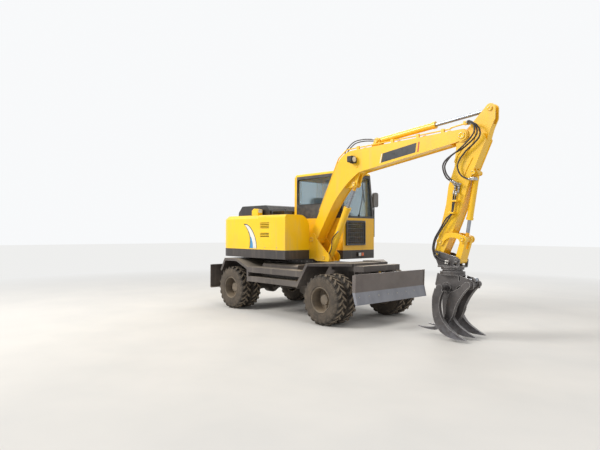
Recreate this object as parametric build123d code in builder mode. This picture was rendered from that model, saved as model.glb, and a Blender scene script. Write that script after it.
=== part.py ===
from build123d import *

import math
import os

os.makedirs("parts", exist_ok=True)

# A wheeled loader with a knuckle arm and a five-tine grab for sugarcane.
# Millimetres. X forward, Y to the left, Z up, the ground at Z = 0.
# Side views are sketched in X and Z counted from the middle of the wheelbase.

# Wheels and axles
WHEELBASE = 2640.0
OVERALL_WIDTH = 2200.0
TYRE_RADIUS = 432.5
TYRE_WIDTH = 235.0
TWIN_GAP = 30.0
TREAD_DEPTH = 24.0
TREAD_WIDTH = 196.0
TYRE_LUGS = 18
BEAD_RADIUS = 222.0
RIM_SIDES = 36
KING_PIN_Y = 530.0
STEER_ANGLE = 25.0

# Chassis
CHASSIS_TOP = 985.0
CHASSIS_HALF_WIDTH = 370.0
FENDER_TOP = 1040.0
FENDER_INNER_Y = 470.0
PLATE = 12.0

BEAM_BOTTOM = 700.0
BELLY_BOTTOM = 520.0
FRONT_BOX_X = 1625.0
FRONT_BOX_BOTTOM = 640.0
REAR_BOX_X = -1820.0
CROSS_PLATE_X = 1540.0

# Dozer blade
BLADE_FACE_X = 2000.0
BLADE_HALF_WIDTH = 990.0
BLADE_TOP = 903.0
BLADE_CREASE = 607.0
BLADE_BOTTOM = 405.0
BLADE_PIVOT = (1500.0, 470.0)
BLADE_CYL_FOOT = (1705.0, 880.0)
BLADE_CYL_HEAD = (1695.0, 520.0)

# Upper machine
SWING_X = -60.0
RING_RADIUS = 480.0
DECK_BOTTOM = 1075.0
DECK_TOP = 1245.0
BODY_HALF_WIDTH = 1000.0
TAIL_X = -1880.0
BODY_TOP = 1925.0
TANK_FRONT_X = 300.0
CAB_FRONT_X = 900.0
CAB_REAR_X = -480.0
CAB_RIGHT_Y = -60.0
CAB_LEFT_Y = 870.0
CAB_ROOF = 2795.0
ROOF_THICK = 50.0
WALL = 40.0

# Arm pivots as (X, Z) in the arm's own plane
ARM_Y = -220.0
BOOM_FOOT = (370.0, 1450.0)
BOOM_TIP = (3536.0, 3030.0)
BOOM_CYL_FOOT = (700.0, 1110.0)
BOOM_CYL_HEAD = (1369.0, 2464.0)
STICK_CYL_FOOT = (1886.0, 3182.0)
STICK_CYL_HEAD = (3938.0, 3372.0)
BUCKET_CYL_FOOT = (3699.0, 2469.0)
LINK_PIN = (3540.0, 1490.0)
GUIDE_PIN = (3170.0, 1450.0)
HEAD_PIN = (3120.0, 1256.0)
HEAD_LINK_PIN = (3445.0, 1173.0)
BOOM_WIDTH = 250.0
STICK_WIDTH = 210.0
HORN_RADIUS = 75.0

# Grab
GRAB_X = 3306.0
RING_TOP = 1062.0
JAW_REAR_PIN = (3270.0, 765.0)
JAW_FRONT_PIN = (3635.0, 822.0)
JAW_CYL_FOOT = (3221.0, 858.0)
JAW_CYL_HEAD = (3675.0, 892.0)
TINE_PITCH = 290.0
TINE_WIDTH = 72.0

# Pins, and the width of every cylinder's eyes
BOOM_PIN = 45.0
LARGE_PIN = 30.0
SMALL_PIN = 18.0
HEAD_BOSS = 68.0
CYLINDER_EYE = 64.0
EAR_RELIEF = 28.0

# Clearances
PIN_FIT = 0.05
SIDE_FIT = 6.0
REST_FIT = 0.3

AXLE_X = WHEELBASE / 2
AXLE_Z = TYRE_RADIUS
PAIR_WIDTH = 2 * TYRE_WIDTH + TWIN_GAP
PAIR_Y = OVERALL_WIDTH / 2 - PAIR_WIDTH / 2
REAR_X = -2090.0
FRONT_X = STICK_CYL_HEAD[0] + HORN_RADIUS
MID_X = -(FRONT_X + REAR_X) / 2


def side(y=0.0):
    """A sketch plane seen from the right: X forward and Z up, growing towards -Y."""
    return Plane(origin=(MID_X, y, 0), x_dir=(1, 0, 0), z_dir=(0, -1, 0))


def front(x=0.0):
    """A sketch plane seen from the front's back: Y to the right and Z up, growing forward."""
    return Plane(origin=(MID_X + x, 0, 0), x_dir=(0, 1, 0), z_dir=(1, 0, 0))


def top(z=0.0):
    """A level sketch plane at height z, growing upward."""
    return Plane(origin=(MID_X, 0, z), x_dir=(1, 0, 0), z_dir=(0, 0, 1))


def direction(start, end):
    """Length and unit vector from one side-view point to another."""
    length = math.hypot(end[0] - start[0], end[1] - start[1])
    return length, ((end[0] - start[0]) / length, (end[1] - start[1]) / length)


def along(start, end, distance):
    """The side-view point that lies a distance from start towards end."""
    length, unit = direction(start, end)
    return (start[0] + unit[0] * distance, start[1] + unit[1] * distance)


def sheet(points, thickness):
    """A folded sheet's section: its outer line, and that line moved to its left by the thickness."""
    inner = []
    for place, point in enumerate(points):
        turns = []
        if place > 0:
            turns.append(direction(points[place - 1], point)[1])
        if place < len(points) - 1:
            turns.append(direction(point, points[place + 1])[1])
        normal = (-sum(turn[1] for turn in turns), sum(turn[0] for turn in turns))
        reach = thickness / (normal[1] * turns[0][0] - normal[0] * turns[0][1])
        inner.append((point[0] + normal[0] * reach, point[1] + normal[1] * reach))
    return points + inner[::-1]


def rod_plane(start, end, distance, y):
    """A sketch plane across the line from start to end, a distance along it."""
    unit = direction(start, end)[1]
    point = along(start, end, distance)
    return Plane(origin=(MID_X + point[0], y, point[1]), x_dir=(0, 1, 0), z_dir=(unit[0], 0, unit[1]))


# One lugged tyre about the Y axis, as a pattern for all eight
TREAD_RADIUS = TYRE_RADIUS - TREAD_DEPTH
SIDEWALL_RADIUS = 325.0
LUG_SWEEP = 56.0
LUG_THICK = 36.0
with BuildPart() as tyre:
    with BuildSketch(Plane(origin=(0, -TYRE_WIDTH / 2, 0), x_dir=(1, 0, 0), z_dir=(0, 1, 0))):
        RegularPolygon(TREAD_RADIUS, TYRE_LUGS, major_radius=False, rotation=90 + 180 / TYRE_LUGS)
    extrude(amount=TYRE_WIDTH)
    for lug in range(TYRE_LUGS):
        turn = math.radians(lug * 360 / TYRE_LUGS)
        outward = Vector(math.sin(turn), 0, math.cos(turn))
        forward = Vector(math.cos(turn), 0, -math.sin(turn))
        for hand in (-1, 1):
            with BuildSketch(Plane(origin=(0, 0, 0), x_dir=(0, hand, 0), z_dir=forward * hand)):
                Polygon(
                    (TREAD_WIDTH / 2, TREAD_RADIUS),
                    (TYRE_WIDTH / 2, SIDEWALL_RADIUS),
                    (TYRE_WIDTH / 2 + 10, SIDEWALL_RADIUS),
                    (TYRE_WIDTH / 2 + 10, TYRE_RADIUS),
                    (TREAD_WIDTH / 2, TYRE_RADIUS),
                    align=None,
                )
            extrude(amount=0.3 * TYRE_RADIUS, both=True, mode=Mode.SUBTRACT)
        with BuildSketch(Plane(origin=outward * (TREAD_RADIUS - 1), x_dir=(0, 1, 0), z_dir=outward)):
            Polygon(
                (-TREAD_WIDTH / 2, (LUG_SWEEP - LUG_THICK) / 2),
                (0, (-LUG_SWEEP - LUG_THICK) / 2),
                (TREAD_WIDTH / 2, (LUG_SWEEP - LUG_THICK) / 2),
                (TREAD_WIDTH / 2, (LUG_SWEEP + LUG_THICK) / 2),
                (0, (-LUG_SWEEP + LUG_THICK) / 2),
                (-TREAD_WIDTH / 2, (LUG_SWEEP + LUG_THICK) / 2),
                align=None,
            )
        extrude(amount=TREAD_DEPTH + 1)
    with BuildSketch(Plane(origin=(0, -TYRE_WIDTH, 0), x_dir=(1, 0, 0), z_dir=(0, 1, 0))):
        RegularPolygon(BEAD_RADIUS, TYRE_LUGS, major_radius=False, rotation=90 + 180 / TYRE_LUGS)
    extrude(amount=2 * TYRE_WIDTH, mode=Mode.SUBTRACT)

# One pair of disc wheels on their hub about the Y axis, +Y outboard
RIM_RADIUS = BEAD_RADIUS - REST_FIT
RIM_LENGTH = PAIR_WIDTH - 24
DISH_RADIUS = 205.0
DISC_Y = 60.0
DISC_THICK = 18.0
HUB_RADIUS = 96.0
HUB_LENGTH = 85.0
with BuildPart() as wheel_pair:
    with BuildSketch(Plane(origin=(0, -RIM_LENGTH / 2, 0), x_dir=(1, 0, 0), z_dir=(0, 1, 0))):
        RegularPolygon(RIM_RADIUS, RIM_SIDES)
    extrude(amount=RIM_LENGTH)
    with BuildSketch(Plane(origin=(0, DISC_Y, 0), x_dir=(1, 0, 0), z_dir=(0, 1, 0))):
        RegularPolygon(DISH_RADIUS - 12, RIM_SIDES)
    with BuildSketch(Plane(origin=(0, RIM_LENGTH / 2 + 1, 0), x_dir=(1, 0, 0), z_dir=(0, 1, 0))):
        RegularPolygon(DISH_RADIUS, RIM_SIDES)
    loft(ruled=True, mode=Mode.SUBTRACT)
    with BuildSketch(Plane(origin=(0, -RIM_LENGTH / 2 - 1, 0), x_dir=(1, 0, 0), z_dir=(0, 1, 0))):
        RegularPolygon(DISH_RADIUS, RIM_SIDES)
    extrude(amount=RIM_LENGTH / 2 + 1 + DISC_Y - DISC_THICK, mode=Mode.SUBTRACT)
    with BuildSketch(Plane(origin=(0, DISC_Y, 0), x_dir=(1, 0, 0), z_dir=(0, 1, 0))):
        RegularPolygon(HUB_RADIUS, RIM_SIDES // 2)
    extrude(amount=HUB_LENGTH, taper=8)

# Each corner: name, X of the axle, side of the machine
corners = (
    ("front_right", AXLE_X, -1),
    ("front_left", AXLE_X, 1),
    ("rear_right", -AXLE_X, -1),
    ("rear_left", -AXLE_X, 1),
)
for corner, axle_x, hand in corners:
    twin_step = (TYRE_WIDTH + TWIN_GAP) / 2
    with BuildPart() as tyres:
        with Locations(
            (MID_X + axle_x, hand * (PAIR_Y - twin_step), AXLE_Z),
            (MID_X + axle_x, hand * (PAIR_Y + twin_step), AXLE_Z),
        ):
            add(tyre.part)
    tyres.part.label = f"tyres_{corner}"
    export_step(tyres.part, f"parts/tyres_{corner}.step")

    with BuildPart() as rims:
        with Locations(Location((MID_X + axle_x, hand * PAIR_Y, AXLE_Z), (0, 0, 0 if hand > 0 else 180))):
            add(wheel_pair.part)
    rims.part.label = f"rims_{corner}"
    export_step(rims.part, f"parts/rims_{corner}.step")

# Axles: a housing with the differential, and drums that run into the wheels
HOUSING_RADIUS = 82.0
DIFF_RADIUS = 165.0
DIFF_HALF = 75.0
DIFF_SIDES = 16
DRUM_RADIUS = 150.0
DRUM_IN_Y = PAIR_Y - PAIR_WIDTH / 2 - 25
DRUM_OUT_Y = PAIR_Y + DISC_Y - DISC_THICK - REST_FIT
KNUCKLE_REACH = 30.0
YOKE_HEIGHT = 165.0
YOKE_THICK = 34.0
YOKE_RADIUS = 60.0
YOKE_NOSE = 38.0
KING_PIN_RADIUS = 24.0
KING_PIN_DEPTH = 70.0

with BuildPart() as front_axle:
    with BuildSketch(side(0)):
        with Locations((AXLE_X, AXLE_Z)):
            Circle(HOUSING_RADIUS)
    extrude(amount=KING_PIN_Y - YOKE_RADIUS - 34, both=True)
    for face_x, growth in ((AXLE_X - DIFF_HALF, DIFF_HALF - DIFF_RADIUS), (AXLE_X + DIFF_HALF, DIFF_RADIUS - DIFF_HALF)):
        with BuildSketch(front(face_x)):
            with Locations((0, AXLE_Z)):
                RegularPolygon(DIFF_RADIUS, DIFF_SIDES)
        extrude(amount=growth, taper=30)
    with BuildSketch(front(AXLE_X - DIFF_HALF)):
        with Locations((0, AXLE_Z)):
            RegularPolygon(DIFF_RADIUS, DIFF_SIDES)
    extrude(amount=2 * DIFF_HALF)
    with BuildSketch(front(AXLE_X - DIFF_RADIUS - 90)):
        with Locations((0, AXLE_Z)):
            Circle(58)
    extrude(amount=120)
    for hand in (-1, 1):
        for level in (AXLE_Z + YOKE_HEIGHT - YOKE_THICK, AXLE_Z - YOKE_HEIGHT):
            with BuildSketch(top(level)):
                with Locations((AXLE_X, hand * KING_PIN_Y)):
                    Circle(YOKE_NOSE)
                with Locations((AXLE_X, hand * (KING_PIN_Y - 65))):
                    Rectangle(2 * YOKE_RADIUS, 130)
            extrude(amount=YOKE_THICK)
        with BuildSketch(top(AXLE_Z - YOKE_HEIGHT)):
            with Locations((AXLE_X, hand * (KING_PIN_Y - 112))):
                Rectangle(2 * YOKE_RADIUS, 36)
        extrude(amount=2 * YOKE_HEIGHT)
        with BuildSketch(top(AXLE_Z + YOKE_HEIGHT - YOKE_THICK - KING_PIN_DEPTH)):
            with Locations((AXLE_X, hand * KING_PIN_Y)):
                Circle(KING_PIN_RADIUS)
        extrude(amount=KING_PIN_DEPTH + YOKE_THICK + 8)
        with BuildSketch(top(AXLE_Z - YOKE_HEIGHT - 8)):
            with Locations((AXLE_X, hand * KING_PIN_Y)):
                Circle(KING_PIN_RADIUS)
        extrude(amount=KING_PIN_DEPTH + YOKE_THICK + 8)
front_axle.part.label = "front_axle"
export_step(front_axle.part, "parts/front_axle.step")

for name, hand in (("knuckle_right", -1), ("knuckle_left", 1)):
    with BuildPart() as knuckle:
        with BuildSketch(side(hand * (KING_PIN_Y - KNUCKLE_REACH))):
            with Locations((AXLE_X, AXLE_Z)):
                Circle(YOKE_HEIGHT - YOKE_THICK - SIDE_FIT)
        extrude(amount=-hand * (DRUM_IN_Y - KING_PIN_Y + KNUCKLE_REACH))
        with BuildSketch(side(hand * DRUM_IN_Y)):
            with Locations((AXLE_X, AXLE_Z)):
                Circle(DRUM_RADIUS)
        extrude(amount=-hand * (DRUM_OUT_Y - DRUM_IN_Y))
        with BuildSketch(top(AXLE_Z - 45)):
            with Locations((AXLE_X - 150, hand * (KING_PIN_Y - 5))):
                Rectangle(150, 40)
        extrude(amount=30)
        with BuildSketch(top(AXLE_Z - YOKE_HEIGHT)):
            with Locations((AXLE_X, hand * KING_PIN_Y)):
                Circle(KING_PIN_RADIUS + PIN_FIT)
        extrude(amount=2 * YOKE_HEIGHT, mode=Mode.SUBTRACT)
    knuckle.part.label = name
    export_step(knuckle.part, f"parts/{name}.step")

with BuildPart() as rear_axle:
    with BuildSketch(side(0)):
        with Locations((-AXLE_X, AXLE_Z)):
            Circle(HOUSING_RADIUS)
    extrude(amount=DRUM_IN_Y + 10, both=True)
    for face_x, growth in ((-AXLE_X - DIFF_HALF, DIFF_HALF - DIFF_RADIUS), (-AXLE_X + DIFF_HALF, DIFF_RADIUS - DIFF_HALF)):
        with BuildSketch(front(face_x)):
            with Locations((0, AXLE_Z)):
                RegularPolygon(DIFF_RADIUS, DIFF_SIDES)
        extrude(amount=growth, taper=30)
    with BuildSketch(front(-AXLE_X - DIFF_HALF)):
        with Locations((0, AXLE_Z)):
            RegularPolygon(DIFF_RADIUS, DIFF_SIDES)
    extrude(amount=2 * DIFF_HALF)
    with BuildSketch(front(-AXLE_X + DIFF_RADIUS - 30)):
        with Locations((0, AXLE_Z)):
            Circle(58)
    extrude(amount=120)
    for hand in (-1, 1):
        with BuildSketch(side(hand * DRUM_IN_Y)):
            with Locations((-AXLE_X, AXLE_Z)):
                Circle(DRUM_RADIUS)
        extrude(amount=-hand * (DRUM_OUT_Y - DRUM_IN_Y))
rear_axle.part.label = "rear_axle"
export_step(rear_axle.part, "parts/rear_axle.step")

# Chassis: a beam stepped up over the axles, with cross boxes under the fenders and feet for the blade
PLATFORM_HALF = 560.0
PLATFORM_FRONT_X = 1790.0
PLATFORM_TOP = 1005.0
AXLE_STAND = 300.0
BOX_BOTTOM = 905.0
SHEET_INNER_Y = 440.0
BLADE_ARM_Y = 210.0
BLADE_ARM_THICK = 40.0
BLADE_EAR = 24.0
BLADE_PIN_RADIUS = 24.0
with BuildPart() as chassis_frame:
    with BuildSketch(side(0)):
        Polygon(
            (REAR_BOX_X, BEAM_BOTTOM + 60),
            (-AXLE_X - 260, BEAM_BOTTOM),
            (-AXLE_X + 300, BEAM_BOTTOM),
            (-AXLE_X + 480, BELLY_BOTTOM),
            (AXLE_X - 520, BELLY_BOTTOM),
            (AXLE_X - 320, BEAM_BOTTOM),
            (CROSS_PLATE_X - 60, BEAM_BOTTOM),
            (CROSS_PLATE_X - 20, FRONT_BOX_BOTTOM),
            (FRONT_BOX_X, FRONT_BOX_BOTTOM),
            (FRONT_BOX_X, CHASSIS_TOP),
            (REAR_BOX_X, CHASSIS_TOP),
            align=None,
        )
    extrude(amount=CHASSIS_HALF_WIDTH, both=True)
    with BuildSketch(front(CROSS_PLATE_X)):
        with BuildLine():
            for hand in (1, -1):
                Line((0, FENDER_TOP), (hand * FENDER_INNER_Y, FENDER_TOP))
                Line((hand * FENDER_INNER_Y, FENDER_TOP), (hand * FENDER_INNER_Y, BOX_BOTTOM - 60))
                ThreePointArc(
                    (hand * FENDER_INNER_Y, BOX_BOTTOM - 60),
                    (hand * (CHASSIS_HALF_WIDTH + 30), FRONT_BOX_BOTTOM + 80),
                    (hand * (CHASSIS_HALF_WIDTH - 10), FRONT_BOX_BOTTOM),
                )
                Line((hand * (CHASSIS_HALF_WIDTH - 10), FRONT_BOX_BOTTOM), (0, FRONT_BOX_BOTTOM))
        make_face()
    extrude(amount=PLATE)
    for box_rear, box_front in ((990.0, CROSS_PLATE_X), (-1500.0, -1140.0)):
        with BuildSketch(front(box_rear)):
            with Locations((0, (FENDER_TOP - PLATE + BOX_BOTTOM) / 2)):
                Rectangle(2 * FENDER_INNER_Y, FENDER_TOP - PLATE - BOX_BOTTOM)
        extrude(amount=box_front - box_rear)
    for hand in (-1, 1):
        with BuildSketch(side(hand * AXLE_STAND - 45)):
            for axle_x in (AXLE_X, -AXLE_X):
                Polygon(
                    (axle_x - 150, BEAM_BOTTOM + 20),
                    (axle_x - 80, AXLE_Z + HOUSING_RADIUS - 20),
                    (axle_x + 80, AXLE_Z + HOUSING_RADIUS - 20),
                    (axle_x + 150, BEAM_BOTTOM + 20),
                    align=None,
                )
        extrude(amount=-90)
    with BuildSketch(side(0)):
        for axle_x in (AXLE_X, -AXLE_X):
            with Locations((axle_x, AXLE_Z)):
                Circle(HOUSING_RADIUS + REST_FIT)
    extrude(amount=CHASSIS_HALF_WIDTH, both=True, mode=Mode.SUBTRACT)
    for hand in (-1, 1):
        for ear_side in (-1, 1):
            ear_y = hand * BLADE_ARM_Y + ear_side * (BLADE_ARM_THICK / 2 + SIDE_FIT + BLADE_EAR / 2)
            with BuildSketch(side(ear_y)):
                Polygon(
                    (BLADE_PIVOT[0] - 90, BEAM_BOTTOM + 20),
                    (BLADE_PIVOT[0] - 46, BLADE_PIVOT[1]),
                    (BLADE_PIVOT[0] + 46, BLADE_PIVOT[1]),
                    (BLADE_PIVOT[0] + 110, FRONT_BOX_BOTTOM + 20),
                    (BLADE_PIVOT[0] + 110, BEAM_BOTTOM + 20),
                    align=None,
                )
                with Locations(BLADE_PIVOT):
                    Circle(46)
            extrude(amount=BLADE_EAR / 2, both=True)
        with BuildSketch(side(hand * BLADE_ARM_Y)):
            with Locations(BLADE_PIVOT):
                Circle(BLADE_PIN_RADIUS)
        extrude(amount=BLADE_ARM_THICK / 2 + SIDE_FIT + BLADE_EAR + 8, both=True)
chassis_frame.part.label = "chassis_frame"
export_step(chassis_frame.part, "parts/chassis_frame.step")

# Front platform on its gussets, with the ears of the blade's cylinder below it
with BuildPart() as front_platform:
    with BuildSketch(top(BOX_BOTTOM)):
        Polygon(
            (FRONT_BOX_X, -PLATFORM_HALF),
            (PLATFORM_FRONT_X, -PLATFORM_HALF + 40),
            (PLATFORM_FRONT_X, PLATFORM_HALF - 40),
            (FRONT_BOX_X, PLATFORM_HALF),
            align=None,
        )
    extrude(amount=PLATFORM_TOP - BOX_BOTTOM)
    for hand in (-1, 1):
        for gusset in (90, 330):
            with BuildSketch(side(hand * gusset - 12)):
                with BuildLine():
                    Line((FRONT_BOX_X, BOX_BOTTOM), (PLATFORM_FRONT_X - 5, BOX_BOTTOM))
                    ThreePointArc(
                        (PLATFORM_FRONT_X - 5, BOX_BOTTOM),
                        (FRONT_BOX_X + 90, BOX_BOTTOM - 110),
                        (FRONT_BOX_X + 30, FRONT_BOX_BOTTOM + 30),
                    )
                    Line((FRONT_BOX_X + 30, FRONT_BOX_BOTTOM + 30), (FRONT_BOX_X, FRONT_BOX_BOTTOM + 30))
                    Line((FRONT_BOX_X, FRONT_BOX_BOTTOM + 30), (FRONT_BOX_X, BOX_BOTTOM))
                make_face()
            extrude(amount=-24)
    for ear_side in (-1, 1):
        with BuildSketch(side(ear_side * (CYLINDER_EYE / 2 + SIDE_FIT + 8))):
            Polygon(
                (BLADE_CYL_FOOT[0] - 80, BOX_BOTTOM + 20),
                (BLADE_CYL_FOOT[0] - 34, BLADE_CYL_FOOT[1]),
                (BLADE_CYL_FOOT[0] + 34, BLADE_CYL_FOOT[1]),
                (BLADE_CYL_FOOT[0] + 60, BOX_BOTTOM + 20),
                align=None,
            )
            with Locations(BLADE_CYL_FOOT):
                Circle(34)
        extrude(amount=8, both=True)
    with BuildSketch(side(0)):
        with Locations(BLADE_CYL_FOOT):
            Circle(SMALL_PIN)
    extrude(amount=CYLINDER_EYE / 2 + SIDE_FIT + 16, both=True)
    with BuildSketch(side(0)):
        with Locations((BLADE_CYL_FOOT[0], BLADE_CYL_FOOT[1])):
            Circle(52)
    extrude(amount=CYLINDER_EYE / 2 + SIDE_FIT, both=True, mode=Mode.SUBTRACT)
    with BuildSketch(side(0)):
        with Locations(BLADE_CYL_FOOT):
            Circle(SMALL_PIN)
    extrude(amount=CYLINDER_EYE / 2 + SIDE_FIT, both=True)
front_platform.part.label = "front_platform"
export_step(front_platform.part, "parts/front_platform.step")

# Fenders with folded lips, and between them a side box with two step rails
RAIL_LIP = 50.0
LIP_END = 26.0
REAR_FENDER_TOP = 1040.0
OUTER_Y = OVERALL_WIDTH / 2
SIDE_BOX_Y = 850.0
front_guard = [(970.0, FENDER_TOP), (690.0, 620.0)]
rear_guard = [(-700.0, 600.0), (-710.0, 880.0), (-1100.0, REAR_FENDER_TOP), (-1540.0, REAR_FENDER_TOP), (-1690.0, 790.0)]
step_rails = (
    # bottom, top, front end of the rail at the bottom and at the top, front end of the tread
    (790.0, 895.0, 798.0, 868.0, 780.0),
    (607.0, 705.0, 684.0, 741.0, 680.0),
)
for name, hand in (("side_step_right", -1), ("side_step_left", 1)):
    with BuildPart() as side_step:
        with BuildSketch(top(FENDER_TOP - PLATE)):
            Polygon(
                (front_guard[0][0], hand * SHEET_INNER_Y),
                (front_guard[0][0], hand * OUTER_Y),
                (CROSS_PLATE_X, hand * FENDER_INNER_Y),
                (CROSS_PLATE_X, hand * SHEET_INNER_Y),
                align=None,
            )
        extrude(amount=PLATE)
        with BuildSketch(top(FENDER_TOP - RAIL_LIP)):
            edge = [
                (front_guard[0][0], hand * OUTER_Y),
                (CROSS_PLATE_X - LIP_END, hand * (FENDER_INNER_Y + LIP_END)),
            ]
            Polygon(*sheet(edge, -hand * PLATE), align=None)
        extrude(amount=RAIL_LIP)
        with BuildSketch(side(hand * FENDER_INNER_Y)):
            Polygon(*sheet(front_guard, PLATE), align=None)
            Polygon(*sheet(rear_guard, PLATE), align=None)
        extrude(amount=-hand * (OUTER_Y - FENDER_INNER_Y))
        with BuildSketch(top(REAR_FENDER_TOP - PLATE)):
            with Locations(((rear_guard[2][0] + rear_guard[3][0]) / 2, hand * (SHEET_INNER_Y + FENDER_INNER_Y) / 2)):
                Rectangle(rear_guard[2][0] - rear_guard[3][0], FENDER_INNER_Y - SHEET_INNER_Y)
        extrude(amount=PLATE)
        with BuildSketch(side(hand * (OUTER_Y - PLATE))):
            Polygon(*sheet(front_guard, RAIL_LIP), align=None)
            Polygon(*sheet(rear_guard, RAIL_LIP), align=None)
            for bottom, rail_top, low_end, high_end, tread_end in step_rails:
                Polygon(
                    (rear_guard[0][0], bottom),
                    (rear_guard[0][0] - 6, rail_top),
                    (high_end, rail_top),
                    (low_end, bottom),
                    align=None,
                )
        extrude(amount=-hand * PLATE)
        for bottom, rail_top, low_end, high_end, tread_end in step_rails:
            with BuildSketch(top(rail_top - PLATE)):
                with Locations(((tread_end + rear_guard[0][0]) / 2, hand * (SIDE_BOX_Y + OUTER_Y) / 2)):
                    Rectangle(tread_end - rear_guard[0][0], OUTER_Y - SIDE_BOX_Y)
            extrude(amount=PLATE)
        with BuildSketch(front(-560)):
            with Locations((0, 0)):
                Polygon(
                    (hand * CHASSIS_HALF_WIDTH, 580),
                    (hand * (SIDE_BOX_Y - 60), 580),
                    (hand * SIDE_BOX_Y, 640),
                    (hand * SIDE_BOX_Y, 940),
                    (hand * (SIDE_BOX_Y - 30), 970),
                    (hand * CHASSIS_HALF_WIDTH, 970),
                    align=None,
                )
        extrude(amount=1040)
    side_step.part.label = name
    export_step(side_step.part, f"parts/{name}.step")

# Rear bumper: an upright plate with folded edges on two arms
BUMPER_TOP = 880.0
BUMPER_BOTTOM = 370.0
with BuildPart() as rear_bumper:
    with BuildSketch(side(0)):
        Polygon(
            *sheet(
                [
                    (REAR_X + 50, BUMPER_BOTTOM),
                    (REAR_X, BUMPER_BOTTOM + 6),
                    (REAR_X, BUMPER_TOP - 6),
                    (REAR_X + 50, BUMPER_TOP),
                ],
                -PLATE,
            ),
            align=None,
        )
    extrude(amount=OUTER_Y, both=True)
    for hand in (-1, 1):
        with BuildSketch(side(hand * 240)):
            Polygon(
                (REAR_X + PLATE / 2, BUMPER_BOTTOM + 60),
                (REAR_X + PLATE / 2, BUMPER_TOP - 40),
                (REAR_BOX_X, CHASSIS_TOP - 30),
                (REAR_BOX_X, BEAM_BOTTOM + 75),
                align=None,
            )
        extrude(amount=PLATE, both=True)
rear_bumper.part.label = "rear_bumper"
export_step(rear_bumper.part, "parts/rear_bumper.step")

# Transfer gearbox under the belly and the two propeller shafts
SHAFT_RADIUS = 36.0
GEARBOX_END = 200.0
PINION_END = AXLE_X - DIFF_RADIUS - 90
with BuildPart() as drive_train:
    with BuildSketch(side(0)):
        Polygon(
            (-GEARBOX_END - 30, BELLY_BOTTOM),
            (GEARBOX_END + 30, BELLY_BOTTOM),
            (GEARBOX_END, AXLE_Z - 60),
            (GEARBOX_END - 90, BELLY_BOTTOM - 190),
            (-GEARBOX_END + 60, BELLY_BOTTOM - 190),
            (-GEARBOX_END, AXLE_Z - 60),
            align=None,
        )
    extrude(amount=150, both=True)
    for heading in (-1, 1):
        with BuildSketch(front(heading * (GEARBOX_END - 10))):
            with Locations((0, AXLE_Z)):
                Circle(SHAFT_RADIUS)
        extrude(amount=heading * (PINION_END - GEARBOX_END + 10))
        for flange in (GEARBOX_END + 8, PINION_END - 24):
            with BuildSketch(front(heading * flange)):
                with Locations((0, AXLE_Z)):
                    Circle(SHAFT_RADIUS + 24)
            extrude(amount=heading * 24)
drive_train.part.label = "drive_train"
export_step(drive_train.part, "parts/drive_train.step")

# Slewing ring: the toothed race on the chassis
RACE_TOP = 1050.0
with BuildPart() as slewing_ring:
    with BuildSketch(top(CHASSIS_TOP)):
        with Locations((SWING_X, 0)):
            Circle(RING_RADIUS)
    extrude(amount=RACE_TOP - CHASSIS_TOP)
slewing_ring.part.label = "slewing_ring"
export_step(slewing_ring.part, "parts/slewing_ring.step")

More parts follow.
